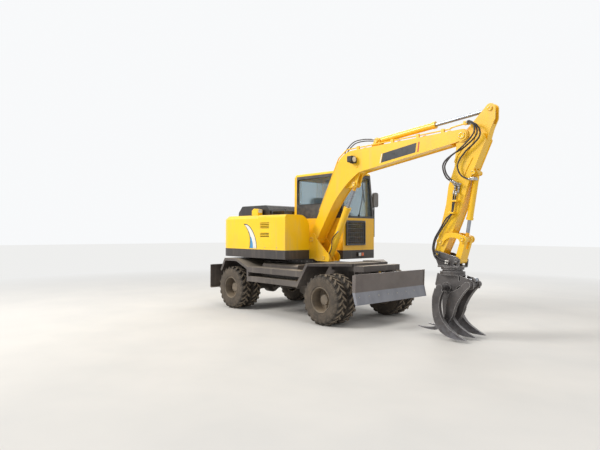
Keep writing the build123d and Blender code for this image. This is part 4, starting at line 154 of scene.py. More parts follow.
class Tree:
    """A short way to write a material's nodes. Every place is in the row frame."""

    def __init__(self, name, rough=0.5, metal=0.0, coat=0.0, coat_rough=0.1):
        self.material = bpy.data.materials.new(name)
        self.material.use_nodes = True
        self.nodes = self.material.node_tree.nodes
        self.links = self.material.node_tree.links
        self.shader = self.nodes["Principled BSDF"]
        self.shader.inputs["Roughness"].default_value = rough
        self.shader.inputs["Metallic"].default_value = metal
        self.shader.inputs["Coat Weight"].default_value = coat
        self.shader.inputs["Coat Roughness"].default_value = coat_rough
        self.coordinates = self.nodes.new("ShaderNodeTexCoord")
        self.geometry = self.nodes.new("ShaderNodeNewGeometry")

    def put(self, value, socket):
        if hasattr(value, "is_output"):
            self.links.new(value, socket)
        else:
            socket.default_value = value

    def noise(self, scale, detail=4.0, rough=0.55, stretch=(1, 1, 1)):
        mapping = self.nodes.new("ShaderNodeMapping")
        mapping.inputs["Scale"].default_value = stretch
        self.links.new(self.coordinates.outputs["Object"], mapping.inputs["Vector"])
        node = self.nodes.new("ShaderNodeTexNoise")
        node.inputs["Scale"].default_value = scale
        node.inputs["Detail"].default_value = detail
        node.inputs["Roughness"].default_value = rough
        self.links.new(mapping.outputs["Vector"], node.inputs["Vector"])
        return node.outputs["Fac"]

    def span(self, value, low, high, to_low=0.0, to_high=1.0):
        node = self.nodes.new("ShaderNodeMapRange")
        node.inputs["From Min"].default_value = low
        node.inputs["From Max"].default_value = high
        node.inputs["To Min"].default_value = to_low
        node.inputs["To Max"].default_value = to_high
        self.put(value, node.inputs["Value"])
        return node.outputs["Result"]

    def maths(self, kind, a, b=0.0):
        node = self.nodes.new("ShaderNodeMath")
        node.operation = kind
        self.put(a, node.inputs[0])
        self.put(b, node.inputs[1])
        return node.outputs[0]

    def times(self, a, b):
        return self.maths("MULTIPLY", a, b)

    def length(self, a, b):
        """How far a point is from the middle, from its two distances."""
        squares = self.maths("ADD", self.times(a, a), self.times(b, b))
        return self.maths("SQRT", squares)

    def mix(self, share, a, b):
        node = self.nodes.new("ShaderNodeMix")
        node.data_type = "RGBA"
        self.put(share, node.inputs[0])
        self.put(a, node.inputs[6])
        self.put(b, node.inputs[7])
        return node.outputs[2]

    def place(self):
        node = self.nodes.new("ShaderNodeSeparateXYZ")
        self.links.new(self.coordinates.outputs["Object"], node.inputs[0])
        return node.outputs

    def facing(self):
        node = self.nodes.new("ShaderNodeSeparateXYZ")
        self.links.new(self.geometry.outputs["Normal"], node.inputs[0])
        return node.outputs

    def wear(self, radius=0.006):
        """1 on convex edges: the rounded normal turns away from the flat one there."""
        bevel = self.nodes.new("ShaderNodeBevel")
        bevel.samples = 4
        bevel.inputs["Radius"].default_value = radius
        dot = self.nodes.new("ShaderNodeVectorMath")
        dot.operation = "DOT_PRODUCT"
        self.links.new(bevel.outputs["Normal"], dot.inputs[0])
        self.links.new(self.geometry.outputs["Normal"], dot.inputs[1])
        return self.span(dot.outputs["Value"], 0.985, 0.80)

    def bump(self, height, strength, distance):
        node = self.nodes.new("ShaderNodeBump")
        node.inputs["Strength"].default_value = strength
        node.inputs["Distance"].default_value = distance
        self.put(height, node.inputs["Height"])
        self.links.new(node.outputs["Normal"], self.shader.inputs["Normal"])

    def done(self, colour, rough=None):
        self.put(colour, self.shader.inputs["Base Color"])
        if rough is not None:
            self.put(rough, self.shader.inputs["Roughness"])
        return self.material


def paint(name, colour, shade, dust=0.25, rough=0.34, coat=0.35, dust_colour=srgb(176, 160, 132), low_dust=0.0):
    """Enamel with faint tone drift, orange peel, dust that settles on upward faces, and paler worn edges."""
    t = Tree(name, rough, 0.0, coat, 0.12)
    drift = t.span(t.noise(1.7, 3), 0.3, 0.75)
    base = t.mix(drift, colour, shade)
    streak = t.span(t.noise(9, 5, 0.6, (1, 1, 0.12)), 0.52, 0.78, 0.0, 0.28)
    base = t.mix(streak, base, dust_colour)
    upward = t.span(t.facing()[2], 0.35, 1.0)
    patch = t.span(t.noise(7, 6, 0.55), 0.2, 0.8, 0.35, 0.95)
    cover = t.times(t.times(upward, patch), dust)
    if low_dust:
        low = t.span(t.place()[2], 1.0, 0.25, 0.0, low_dust)
        cover = t.maths("ADD", cover, t.times(low, t.span(t.noise(6, 6, 0.7), 0.25, 0.75)))
    base = t.mix(cover, base, dust_colour)
    edge = t.times(t.wear(0.005), t.span(t.noise(30, 4), 0.42, 0.62, 0.0, 0.5))
    base = t.mix(edge, base, t.mix(0.5, colour, (1, 1, 1, 1)))
    t.bump(t.noise(240, 2), 0.05, 0.002)
    return t.done(base, t.span(cover, 0.0, 0.6, rough, 0.75))


yellow = paint("yellow_paint", srgb(252, 202, 30), srgb(247, 190, 16), 0.14, 0.36, 0.22)
body_yellow = paint("body_yellow", srgb(252, 206, 8), srgb(246, 194, 4), 0.16, 0.34, 0.3)
frame_grey = paint(
    "chassis_paint", srgb(86, 79, 76), srgb(66, 60, 58), 0.8, 0.5, 0.1, srgb(172, 160, 142), 0.3
)
deck_grey = paint("deck_paint", srgb(62, 56, 54), srgb(48, 44, 43), 0.7, 0.48, 0.1, srgb(140, 128, 112), 0.1)
black_gloss = paint("black_paint", srgb(34, 34, 36), srgb(26, 26, 28), 0.3, 0.36, 0.3, srgb(120, 112, 100))

# Blade: grey-brown above the crease; below it a lighter bluish grey that is partly worn steel and partly painted sky
# light on the forward-sloping strip
t = Tree("blade_paint", 0.5, 0.0, 0.1)
height = t.place()[2]
upper = t.mix(t.span(t.noise(3, 5), 0.3, 0.7), srgb(118, 110, 106), srgb(100, 92, 89))
# Partly painted sky light: the lower strip's tone is lighter and bluer than the upper plate
lower_steel_sky_light = t.mix(t.span(t.noise(5, 6, 0.6, (1, 1, 0.3)), 0.3, 0.7), srgb(142, 144, 152), srgb(122, 124, 132))
below = t.span(height, 0.612, 0.602)
base = t.mix(below, upper, lower_steel_sky_light)
scratch = t.span(t.noise(40, 6, 0.7, (1, 1, 0.08)), 0.6, 0.72, 0.0, 0.5)
base = t.mix(t.times(scratch, below), base, srgb(176, 176, 180))
base = t.mix(t.times(t.wear(0.006), 0.6), base, srgb(190, 184, 176))
t.bump(t.noise(60, 5), 0.08, 0.003)
blade_mat = t.done(base, t.span(t.noise(8), 0.3, 0.7, 0.4, 0.6))

# Grab: dark gunmetal, rust-brown stain, bright worn edges and tips; the grey tone is partly painted sun sheen, and
# upward faces get a painted highlight
t = Tree("grab_paint", 0.42, 0.35)
tone = t.mix(t.span(t.noise(4, 5), 0.3, 0.7), srgb(100, 96, 95), srgb(64, 61, 61))
stain = t.span(t.noise(11, 7, 0.7), 0.56, 0.7, 0.0, 0.55)
tone = t.mix(stain, tone, srgb(92, 76, 64))
spots = t.span(t.noise(38, 4), 0.66, 0.72, 0.0, 0.6)
tone = t.mix(spots, tone, srgb(150, 146, 144))
tips = t.span(t.place()[2], 0.34, 0.05, 0.0, 0.75)
tips = t.times(tips, t.span(t.noise(18, 5), 0.35, 0.6))
tone = t.mix(t.times(tips, 0.6), tone, srgb(142, 142, 150))
# Painted highlight: faces turned upwards are lightened as if lit by the sun
painted_top_light = t.times(t.span(t.facing()[2], 0.15, 0.9), 0.42)
tone = t.mix(painted_top_light, tone, srgb(150, 146, 144))
tone = t.mix(t.times(t.wear(0.010), 0.85), tone, srgb(198, 194, 192))
t.bump(t.noise(70, 6, 0.65), 0.22, 0.002)
grab_mat = t.done(tone, t.span(t.noise(14, 4), 0.3, 0.7, 0.32, 0.55))

# Tyres: dusty dark rubber with more dust in the tread, and painted shade that darkens the grooves between the lugs
t = Tree("tyre_rubber", 0.85)
dusty = t.span(t.noise(7, 7, 0.7), 0.3, 0.72, 0.12, 0.85)
fine = t.span(t.noise(60, 5), 0.35, 0.7, 0.0, 0.4)
colour = t.mix(dusty, srgb(44, 41, 39), srgb(112, 99, 84))
colour = t.mix(fine, colour, srgb(62, 57, 52))
where = t.place()
from_middle = t.maths("ABSOLUTE", t.maths("SUBTRACT", where[0], SHIFT))
across = t.maths("SUBTRACT", from_middle, AXLE_X / 1000)
height = t.maths("SUBTRACT", where[2], TYRE_R)
radius = t.length(across, height)
# Painted shade: the bottoms of the grooves between the lugs are darkened
painted_groove_shade = t.times(t.span(radius, 0.424, 0.412), t.span(radius, 0.385, 0.400))
colour = t.mix(t.times(painted_groove_shade, 0.72), colour, srgb(30, 28, 27))
crown = t.times(t.span(radius, 0.426, 0.431), t.span(t.noise(16, 5, 0.6), 0.32, 0.62, 0.25, 0.85))
colour = t.mix(crown, colour, srgb(146, 132, 114))
edge = t.times(t.wear(0.006), 0.45)
colour = t.mix(edge, colour, srgb(150, 138, 120))
t.bump(t.noise(180, 4), 0.25, 0.002)
tyre_mat = t.done(colour)

# Rims: dark enamel, dusty
rim_mat = paint("rim_paint", srgb(104, 96, 86), srgb(84, 77, 70), 0.5, 0.6, 0.05, srgb(158, 140, 116), 0.7)

# Chrome rods
t = Tree("chrome_rod", 0.3, 0.75)
film = t.span(t.noise(22, 3, 0.5, (1, 1, 0.2)), 0.3, 0.8, 0.22, 0.36)
bright = t.mix(t.span(t.noise(16, 3), 0.3, 0.7), srgb(158, 162, 170), srgb(140, 145, 154))
# The rods' eyes are painted like the links they hold, out to a radius round each pin
eye = None
for x, z, radius in ((1369, 2464, 0.125), (3938, 3372, 0.115), (3540, 1490, 0.1), (1695, 520, 0.08)):
    pin = P(x, z)
    along_x = t.maths("SUBTRACT", t.place()[0], pin.x)
    along_z = t.maths("SUBTRACT", t.place()[2], pin.z)
    near = t.maths("LESS_THAN", t.length(along_x, along_z), radius)
    eye = near if eye is None else t.maths("MAXIMUM", eye, near)
t.put(t.maths("SUBTRACT", 0.75, t.times(eye, 0.75)), t.shader.inputs["Metallic"])
chrome = t.done(t.mix(eye, bright, srgb(240, 176, 30)), t.maths("ADD", film, t.times(eye, 0.2)))

# Zinc fittings and pins
t = Tree("bare_steel", 0.42, 0.7)
tone = t.mix(t.span(t.noise(30, 4), 0.3, 0.7), srgb(190, 188, 184), srgb(138, 136, 133))
t.bump(t.noise(120, 3), 0.1, 0.001)
steel = t.done(tone, t.span(t.noise(50), 0.3, 0.7, 0.22, 0.42))

# Rubber hose with a fabric-like cover
t = Tree("hose_rubber", 0.6)
tone = t.mix(t.span(t.noise(26, 5), 0.3, 0.7), srgb(38, 34, 36), srgb(64, 58, 58))
t.bump(t.noise(300, 2), 0.2, 0.001)
hose_mat = t.done(tone, t.span(t.noise(12), 0.3, 0.7, 0.45, 0.7))

# Moulded black plastic
t = Tree("black_plastic", 0.55)
tone = t.mix(t.span(t.noise(5, 4), 0.3, 0.7), srgb(36, 36, 38), srgb(48, 47, 47))
t.bump(t.noise(420, 3), 0.15, 0.0006)
plastic = t.done(tone, t.span(t.noise(9), 0.3, 0.7, 0.45, 0.65))

# Mirror housing: grey plastic whose pale tone is partly painted sunlight
t = Tree("mirror_plastic", 0.5)
tone = t.mix(t.span(t.noise(6, 4), 0.3, 0.7), srgb(126, 124, 122), srgb(100, 98, 97))
t.bump(t.noise(420, 3), 0.12, 0.0006)
mirror_mat = t.done(tone, t.span(t.noise(9), 0.3, 0.7, 0.42, 0.6))

# Window glass: tinted and clear, with a thin film of dust in patches on each pane
t = Tree("window_glass", 0.04)
t.shader.inputs["Transmission Weight"].default_value = 0.82
t.shader.inputs["IOR"].default_value = 1.15
t.shader.inputs["Alpha"].default_value = 0.55
film = t.span(t.noise(6, 5), 0.4, 0.8, 0.0, 0.3)
glass = t.done(t.mix(film, srgb(150, 172, 182), srgb(190, 188, 176)), t.span(t.noise(10), 0.3, 0.8, 0.02, 0.09))

# Lamp lenses
t = Tree("lens_clear", 0.12, 0.0, 0.6)
lens_clear = t.done(t.mix(t.span(t.noise(60, 2), 0.4, 0.6), srgb(236, 236, 230), srgb(204, 206, 206)))
t = Tree("lens_orange", 0.2, 0.0, 0.6)
lens_orange = t.done(t.mix(t.span(t.noise(60, 2), 0.4, 0.6), srgb(232, 104, 24), srgb(200, 76, 14)))

# Seat fabric: woven, with faint patches of lighter tone
t = Tree("seat_fabric", 0.9)
weave = t.nodes.new("ShaderNodeTexWave")
weave.inputs["Scale"].default_value = 220
t.links.new(t.coordinates.outputs["Object"], weave.inputs["Vector"])
tone = t.mix(t.span(t.noise(8, 4), 0.3, 0.7), srgb(44, 44, 48), srgb(62, 60, 62))
tone = t.mix(t.times(weave.outputs["Fac"], 0.35), tone, srgb(86, 84, 86))
t.bump(weave.outputs["Fac"], 0.3, 0.001)
fabric = t.done(tone)

# Stripes and the plain panel
def stripe(name, colour, other):
    made = Tree(name, 0.3, 0.0, 0.5)
    tones = made.mix(made.span(made.noise(5, 5), 0.3, 0.75), colour, other)
    return made.done(tones, made.span(made.noise(14), 0.3, 0.7, 0.26, 0.42))


panel_black = stripe("stripe_black", srgb(12, 12, 15), srgb(22, 22, 25))
panel_red = stripe("stripe_red", srgb(196, 34, 26), srgb(172, 30, 24))
panel_white = stripe("stripe_white", srgb(236, 234, 226), srgb(216, 212, 202))
panel_blue = stripe("stripe_blue", srgb(64, 150, 200), srgb(40, 120, 176))

# Cab: yellow below the sill and at the rear post, dark frames round the windows
t = Tree("cab_paint", 0.36, 0.0, 0.3)
where = t.place()
yellow_tone = t.mix(t.span(t.noise(1.7, 3), 0.3, 0.75), srgb(252, 198, 14), srgb(240, 178, 8))
dark_tone = t.mix(t.span(t.noise(4, 4), 0.3, 0.7), srgb(40, 39, 41), srgb(54, 52, 52))
above = t.span(where[2], 1.868, 1.872)
ahead = t.span(where[0], -1.376, -1.372)
dark = t.times(above, ahead)
base = t.mix(dark, yellow_tone, dark_tone)
cover = t.times(t.span(t.noise(12, 6, 0.65), 0.4, 0.75), 0.18)
base = t.mix(cover, base, srgb(170, 158, 136))
t.bump(t.noise(240, 2), 0.05, 0.002)
cab_mat = t.done(base, t.span(cover, 0.0, 0.2, 0.34, 0.5))

# Lamp housings: yellow on the body, dark in the deck's front band
t = Tree("lamp_housing", 0.36, 0.0, 0.25)
low_band = t.span(t.place()[2], 1.30, 1.28)
base = t.mix(t.span(t.noise(3, 4), 0.3, 0.7), srgb(250, 200, 10), srgb(244, 190, 6))
lamp_mat = t.done(t.mix(low_band, base, srgb(40, 38, 38)), t.span(t.noise(9), 0.3, 0.7, 0.32, 0.46))

# Floor: it fades to the sky's tone far off
t = Tree("floor", 0.9)
floor_mat = t.done(t.mix(t.span(t.noise(0.8, 3), 0.3, 0.7), srgb(212, 208, 202), srgb(204, 201, 196)))
where = t.place()
far = t.length(where[0], where[1])
glow = t.nodes.new("ShaderNodeEmission")
glow.inputs["Color"].default_value = (0.86, 0.86, 0.85, 1)
glow.inputs["Strength"].default_value = 1.0
rays = t.nodes.new("ShaderNodeLightPath")
watched = t.maths("MAXIMUM", rays.outputs["Is Camera Ray"], rays.outputs["Is Glossy Ray"])
watched = t.maths("MAXIMUM", watched, rays.outputs["Is Transmission Ray"])
blend_floor = t.nodes.new("ShaderNodeMixShader")
t.links.new(t.times(watched, t.span(far, 4.5, 13.0)), blend_floor.inputs["Fac"])
t.links.new(t.shader.outputs[0], blend_floor.inputs[1])
t.links.new(glow.outputs[0], blend_floor.inputs[2])
t.links.new(blend_floor.outputs[0], t.nodes["Material Output"].inputs["Surface"])

assignments = {
    yellow: "boom stick boom_nose boom_cylinder stick_cylinder bucket_cylinder guide_links straight_link "
    "boom_pipes blade_cylinder",
    body_yellow: "engine_housing counterweight right_tank cab_roof cab_door",
    lamp_mat: "body_lamps",
    cab_mat: "cab_shell",
    frame_grey: "chassis_frame front_axle rear_axle side_step_right side_step_left rear_bumper drive_train "
    "knuckle_right knuckle_left slewing_ring front_platform",
    deck_grey: "swing_frame engine_block",
    blade_mat: "dozer_blade",
    black_gloss: "engine_hood cab_guard handrails",
    plastic: "control_stand work_lamp",
    mirror_mat: "mirror",
    fabric: "operator_seat",
    glass: "cab_glass door_glass",
    chrome: "boom_rod stick_rod bucket_rod blade_rod jaw_rod",
    grab_mat: "grab_head grab_frame jaw_rear jaw_front jaw_cylinder",
    tyre_mat: "tyres_front_right tyres_front_left tyres_rear_right tyres_rear_left",
    rim_mat: "rims_front_right rims_front_left rims_rear_right rims_rear_left",
}
for material, names in assignments.items():
    for name in names.split():
        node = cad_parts[name]
        if not node.material_slots:
            node.data.materials.append(material)
        for slot in node.material_slots:
            slot.material = material


# Piece makers
def piece(name, bm, material, body=None, smooth=True):
    mesh = bpy.data.meshes.new(name)
    bm.to_mesh(mesh)
    bm.free()
    obj = bpy.data.objects.new(name, mesh)
    bpy.context.scene.collection.objects.link(obj)
    mesh.materials.append(material)
    if smooth:
        for face in mesh.polygons:
            face.use_smooth = True
    if body:
        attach(obj, body)
    return obj


def curve_points(points, steps=10):
    """A smooth open line through the given points."""
    pts = [Vector(p) for p in points]
    ends = [pts[0] * 2 - pts[1]] + pts + [pts[-1] * 2 - pts[-2]]
    line = []
    for i in range(1, len(ends) - 2):
        a, b, c, d = ends[i - 1 : i + 3]
        for s in range(steps):
            u = s / steps
            line.append(
                0.5 * ((2 * b) + (c - a) * u + (2 * a - 5 * b + 4 * c - d) * u * u + (3 * b - a - 3 * c + d) * u**3)
            )
    line.append(pts[-1])
    return line


def ring(bm, centre, normal, side, radius, sides):
    """A round ring of vertices in the plane of two unit vectors."""
    turns = [2 * math.pi * k / sides for k in range(sides)]
    return [bm.verts.new(centre + (normal * math.cos(a) + side * math.sin(a)) * radius) for a in turns]


def tube(bm, line, radius, sides=12):
    """A round tube along a line, with a frame carried from ring to ring."""
    rings = []
    normal = None
    for i, p in enumerate(line):
        ahead = line[min(i + 1, len(line) - 1)] - line[max(i - 1, 0)]
        ahead.normalize()
        if normal is None:
            normal = ahead.orthogonal().normalized()
        normal = (normal - ahead * normal.dot(ahead)).normalized()
        rings.append(ring(bm, p, normal, ahead.cross(normal), radius, sides))
    for a, b in zip(rings, rings[1:]):
        for k in range(sides):
            bm.faces.new((a[k], a[(k + 1) % sides], b[(k + 1) % sides], b[k]))
    bm.faces.new(rings[0][::-1])
    bm.faces.new(rings[-1])


def lathe(bm, centre, axis, profile, sides=32, caps=True):
    """A turned solid: profile is (distance along the axis, radius) from one end to the other."""
    axis = Vector(axis).normalized()
    normal = axis.orthogonal().normalized()
    side = axis.cross(normal)
    rings = []
    for along, radius in profile:
        if radius < 1e-6:
            rings.append([bm.verts.new(Vector(centre) + axis * along)])
            continue
        rings.append(ring(bm, Vector(centre) + axis * along, normal, side, radius, sides))
    for a, b in zip(rings, rings[1:]):
        for k in range(sides):
            quad = [a[k % len(a)], a[(k + 1) % len(a)], b[(k + 1) % len(b)], b[k % len(b)]]
            quad = [v for i, v in enumerate(quad) if v not in quad[:i]]
            if len(quad) > 2:
                bm.faces.new(quad)
    for rim, flip in ((rings[0], True), (rings[-1], False)):
        if caps and len(rim) > 2:
            bm.faces.new(rim[::-1] if flip else rim)


def bolt(bm, place, axis, size, height=None):
    """A hexagon head on a washer."""
    height = height or 0.62 * size
    lathe(bm, place, axis, [(0, size * 1.15), (size * 0.14, size * 1.15), (size * 0.16, size * 1.1)], 16)
    lathe(bm, place, axis, [(size * 0.1, size * 0.92), (height * 0.85, size * 0.92), (height, size * 0.74)], 6)


def block(bm, centre, size, rotate=None, bevel=0.0):
    """A box with softened edges."""
    made = bmesh.ops.create_cube(bm, size=1.0)
    turn = (rotate or Matrix.Identity(3)).to_4x4()
    matrix = Matrix.Translation(Vector(centre)) @ turn @ Matrix.Diagonal((*size, 1.0))
    bmesh.ops.transform(bm, matrix=matrix, verts=made["verts"])
    if bevel:
        edges = list({e for v in made["verts"] for e in v.link_edges})
        bmesh.ops.bevel(bm, geom=edges, offset=bevel, segments=2, affect="EDGES", profile=0.6)


# Tyres and wheels
def tyre_mesh(bm, centre, phase):
    """One tyre: a turned carcass with slanted lugs on both halves of its tread."""
    half = TYRE_W / 2
    tread = TYRE_R - 0.024
    profile = [
        (-half + 0.018, 0.2235), (-half + 0.006, 0.232), (-half + 0.001, 0.252), (-half + 0.006, 0.266),
        (-half + 0.0005, 0.285), (-half, 0.318), (-half + 0.003, 0.345), (-half + 0.010, 0.372),
        (-half + 0.020, tread - 0.012), (-half + 0.034, tread), (0, tread + 0.003), (half - 0.034, tread),
        (half - 0.020, tread - 0.012), (half - 0.010, 0.372), (half - 0.003, 0.345), (half, 0.318),
        (half - 0.0005, 0.285), (half - 0.006, 0.266), (half - 0.001, 0.252), (half - 0.006, 0.232),
        (half - 0.018, 0.2235),
    ]
    sides = 88
    up_z, along_x = Vector((0, 0, 1)), Vector((1, 0, 0))
    rings = [ring(bm, centre + Vector((0, y, 0)), up_z, along_x, r, sides) for y, r in profile]
    rings.append(rings[0])
    for a, b in zip(rings, rings[1:]):
        for k in range(sides):
            bm.faces.new((a[k], b[k], b[(k + 1) % sides], a[(k + 1) % sides]))
    # Lugs: each half carries slanted bars from the middle to the shoulder, half a pitch apart
    for hand in (-1, 1):
        for lug in range(LUGS):
            start = 2 * math.pi * (lug + (0.5 if hand > 0 else 0.0)) / LUGS + phase
            rows = []
            for across, sweep, lift in LUG_PATH:
                angle = start + sweep / TYRE_R * 1.15
                wide = 0.0175 + 0.008 * across / 0.11
                y = hand * min(across, half - 0.0015)
                top_r = TYRE_R * lift if lift > 0.9 else tread - 0.030
                base_r = tread - 0.012 if lift > 0.9 else tread - 0.055
                if across > 0.09 and lift > 0.9:
                    top_r = TYRE_R - 0.006
                row = []
                for r, w in ((base_r, wide * 1.25), (top_r, wide), (top_r, -wide), (base_r, -wide * 1.25)):
                    a = angle + w / TYRE_R
                    row.append(bm.verts.new(centre + Vector((r * math.sin(a), y, r * math.cos(a)))))
                rows.append(row)
            for a, b in zip(rows, rows[1:]):
                for k in range(4):
                    quad = (a[k], a[(k + 1) % 4], b[(k + 1) % 4], b[k])
                    bm.faces.new(quad if hand > 0 else quad[::-1])
            bm.faces.new(rows[0][::-1] if hand > 0 else rows[0])
            bm.faces.new(rows[-1] if hand > 0 else rows[-1][::-1])


corners = {
    "front_right": (AXLE_X, -1, "wheels_front_right"),
    "front_left": (AXLE_X, 1, "wheels_front_left"),
    "rear_right": (-AXLE_X, -1, "wheels_rear_right"),
    "rear_left": (-AXLE_X, 1, "wheels_rear_left"),
}
for number, (corner, (axle, hand, body)) in enumerate(corners.items()):
    centre = Vector((axle / 1000 + SHIFT, 0, TYRE_R))
    outward = Vector((0, hand, 0))
    bm = bmesh.new()
    for twin in (-1, 1):
        tyre_mesh(bm, centre + Vector((0, hand * (TWIN_Y + twin * TWIN_SHIFT), 0)), 0.07 * number + 0.05 * twin)
    bmesh.ops.recalc_face_normals(bm, faces=bm.faces)
    obj = piece(f"tyre_pair_{corner}", bm, tyre_mat, smooth=True)
    obj.data.set_sharp_from_angle(angle=math.radians(38))
    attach(obj, body)
    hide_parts(f"tyres_{corner}")

    # Bead ring, wheel nuts and hub cap in the dish
    bm = bmesh.new()
    bead = [(-0.014, 0.2215), (-0.002, 0.2225), (0.004, 0.219), (0.005, 0.212), (-0.001, 0.206), (-0.014, 0.2052)]
    lathe(bm, centre + outward * (TWIN_Y + 0.238), outward, bead, 56, caps=False)
    for k in range(10):
        a = 2 * math.pi * k / 10 + 0.2
        place = centre + outward * 0.91 + Vector((math.cos(a) * 0.135, 0, math.sin(a) * 0.135))
        bolt(bm, place, outward, 0.0135, 0.02)
    for k in range(8):
        a = 2 * math.pi * k / 8 + 0.1
        place = centre + outward * (TWIN_Y + 0.145) + Vector((math.cos(a) * 0.062, 0, math.sin(a) * 0.062))
        bolt(bm, place, outward, 0.0075)
    piece(f"wheel_nuts_{corner}", bm, rim_mat, body)

trees = {}


def meet(names, start, direction):
    """Where a ray from a point first meets the named nodes, or None."""
    found = None
    for name in names.split():
        if name not in trees:
            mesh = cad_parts[name].data
            polygons = [tuple(p.vertices) for p in mesh.polygons]
            trees[name] = BVHTree.FromPolygons([v.co for v in mesh.vertices], polygons)
        place, _, _, far = trees[name].ray_cast(Vector(start), Vector(direction).normalized())
        if place is not None and (found is None or far < found[1]):
            found = (place, far)
    return found[0] if found else None


# Pin ends: a flat cap with bolts round it on both sides of each joint of the arm
pins = (
    # name, body, nodes that carry the cap, x, z, cap radius, bolts
    ("boom_foot", "upper", "boom_nose", 370, 1450, 0.050, 6),
    ("boom_cylinder_foot", "upper", "boom_nose", 700, 1110, 0.036, 3),
    ("boom_cylinder_head", "arm_boom", "boom", 1369, 2464, 0.042, 3),
    ("stick_cylinder_foot", "arm_boom", "boom", 1886, 3182, 0.036, 3),
    ("boom_tip", "arm_boom", "boom", 3536, 3030, 0.056, 6),
    ("stick_cylinder_head", "arm_stick", "stick", 3938, 3372, 0.036, 3),
    ("bucket_cylinder_foot", "arm_stick", "stick", 3699, 2469, 0.036, 3),
    ("guide_pin", "guide", "guide_links", 3170, 1450, 0.036, 4),
    ("link_pin", "guide", "guide_links", 3540, 1490, 0.034, 4),
    ("head_pin", "head", "grab_head", 3120, 1256, 0.042, 4),
    ("head_link_pin", "head", "grab_head", 3445, 1173, 0.034, 4),
)


def outer_face(nodes, x, z, hand, reach):
    """The outermost side of a pin's boss, felt at its middle and at three places round it."""
    spots = [(0.0, 0.0)] + [(math.cos(a) * reach, math.sin(a) * reach) for a in (0.3, 2.4, 4.5)]
    hits = [meet(nodes, P(x, z, ARM_Y + hand * 0.6) + Vector((u, 0, w)), (0, -hand, 0)) for u, w in spots]
    sides = [hit.y for hit in hits if hit is not None and (hit.y - ARM_Y) * hand > 0.03]
    return max(sides, key=lambda y: y * hand)


for name, body, nodes, x, z, radius, count in pins:
    cap = bmesh.new()
    heads = bmesh.new()
    for hand in (-1, 1):
        place = P(x, z, outer_face(nodes, x, z, hand, radius * 0.9))
        out = Vector((0, hand, 0))
        rounded = [(-0.002, radius), (0.007, radius), (0.010, radius - 0.003)]
        lathe(cap, place, out, rounded + [(0.010, radius * 0.45), (0.007, radius * 0.4), (0.007, 0)], 40)
        for k in range(count):
            a = 2 * math.pi * k / count + 0.4
            spot = place + out * 0.010 + Vector((math.cos(a), 0, math.sin(a))) * radius * 0.72
            bolt(heads, spot, out, 0.0075 if radius > 0.04 else 0.0062)
    dark_cap = body == "head"
    piece(f"cap_{name}", cap, grab_mat if dark_cap else yellow, body)
    piece(f"cap_bolts_{name}", heads, steel, body, smooth=False)

# Hoses: round rubber lines with a crimped steel end at each fitting
CRIMP = (0.012, 0.0185, 0.0155, 0.0166, 0.0138)  # the radii of a crimped end's lip, collar, neck, sleeve and mouth
CRIMP_SHARES = (0.9, 1.35, 1.15, 1.22, 1.02)  # the same as shares of a thin hose's radius


def hose(name, points, radius=HOSE_R, steps=9):
    bm = bmesh.new()
    tube(bm, curve_points(points, steps), radius, 14)
    made = piece(name, bm, hose_mat)
    return made


def crimp(name, points, at_start, body, radii=CRIMP):
    """The crimped end at a hose's start or finish."""
    line = curve_points(points, 9)
    end, along = (line[0], line[2] - line[0]) if at_start else (line[-1], line[-3] - line[-1])
    lip, collar, neck, sleeve, mouth = radii
    profile = [(-0.012, lip), (-0.010, collar), (0.006, collar), (0.007, neck), (0.012, neck)]
    bm = bmesh.new()
    lathe(bm, end, along, profile + [(0.013, sleeve), (0.050, sleeve), (0.052, mouth)], 18)
    piece(name, bm, steel, body)


tip_y = -0.384
tip_a = ((3669, 3179), (3751, 3172), (3823, 3089), (3834, 2985), (3758, 2894), (3608, 2776), (3503, 2649), (3483, 2546),
         (3539, 2436), (3640, 2376), (3706, 2372))
tip_b = ((3650, 3203), (3724, 3194), (3796, 3110), (3804, 3007), (3721, 2916), (3571, 2816), (3437, 2762), (3298, 2672),
         (3257, 2569), (3315, 2420), (3423, 2340))
tip_c = ((3630, 3190), (3704, 3206), (3774, 3130), (3776, 3030), (3690, 2926), (3530, 2800), (3400, 2716), (3312, 2600),
         (3330, 2480), (3400, 2390), (3480, 2327))
for name, route, shift in (("hose_tip_a", tip_a, 0.0), ("hose_tip_b", tip_b, -0.032), ("hose_tip_c", tip_c, -0.062)):
    points = [P(x, z, tip_y + shift * (0.4 if i == 0 else 1.0)) for i, (x, z) in enumerate(route)]
    made = hose(name, points)
    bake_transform(made)
    crimp(f"{name}_end_arm_boom", points, True, "arm_boom")
    crimp(f"{name}_end_arm_stick", points, False, "arm_stick")

# The pipe that goes on from the boom's own one to the block that the tip hoses leave from
bm = bmesh.new()
route = [P(3292, 3159, -0.315), P(3328, 3161, -0.328), P(3364, 3165, -0.358), P(3410, 3170, -0.372),
         P(3540, 3183, -0.384), P(3604, 3190, -0.388)]
tube(bm, curve_points(route, 8), 0.0112, 12)
block(bm, P(3628, 3192, -0.396), (0.060, 0.066, 0.054), bevel=0.006)
piece("hose_block_boom", bm, yellow, "arm_boom", smooth=False)
bm = bmesh.new()
plug = [(-0.012, 0.0125), (-0.010, 0.0165), (0.010, 0.0165), (0.012, 0.012), (0.020, 0.012), (0.021, 0)]
lathe(bm, P(3296, 3160, -0.125), (1, 0, 0.03), plug, 6)
piece("pipe_plug", bm, steel, "arm_boom", smooth=False)

# The port block at the bucket cylinder
bm = bmesh.new()
block(bm, P(3722, 2371, -0.352), (0.06, 0.09, 0.045), bevel=0.006)
block(bm, P(3722, 2371, -0.300), (0.045, 0.06, 0.035), bevel=0.004)
piece("port_block_stick", bm, steel, "arm_stick", smooth=False)

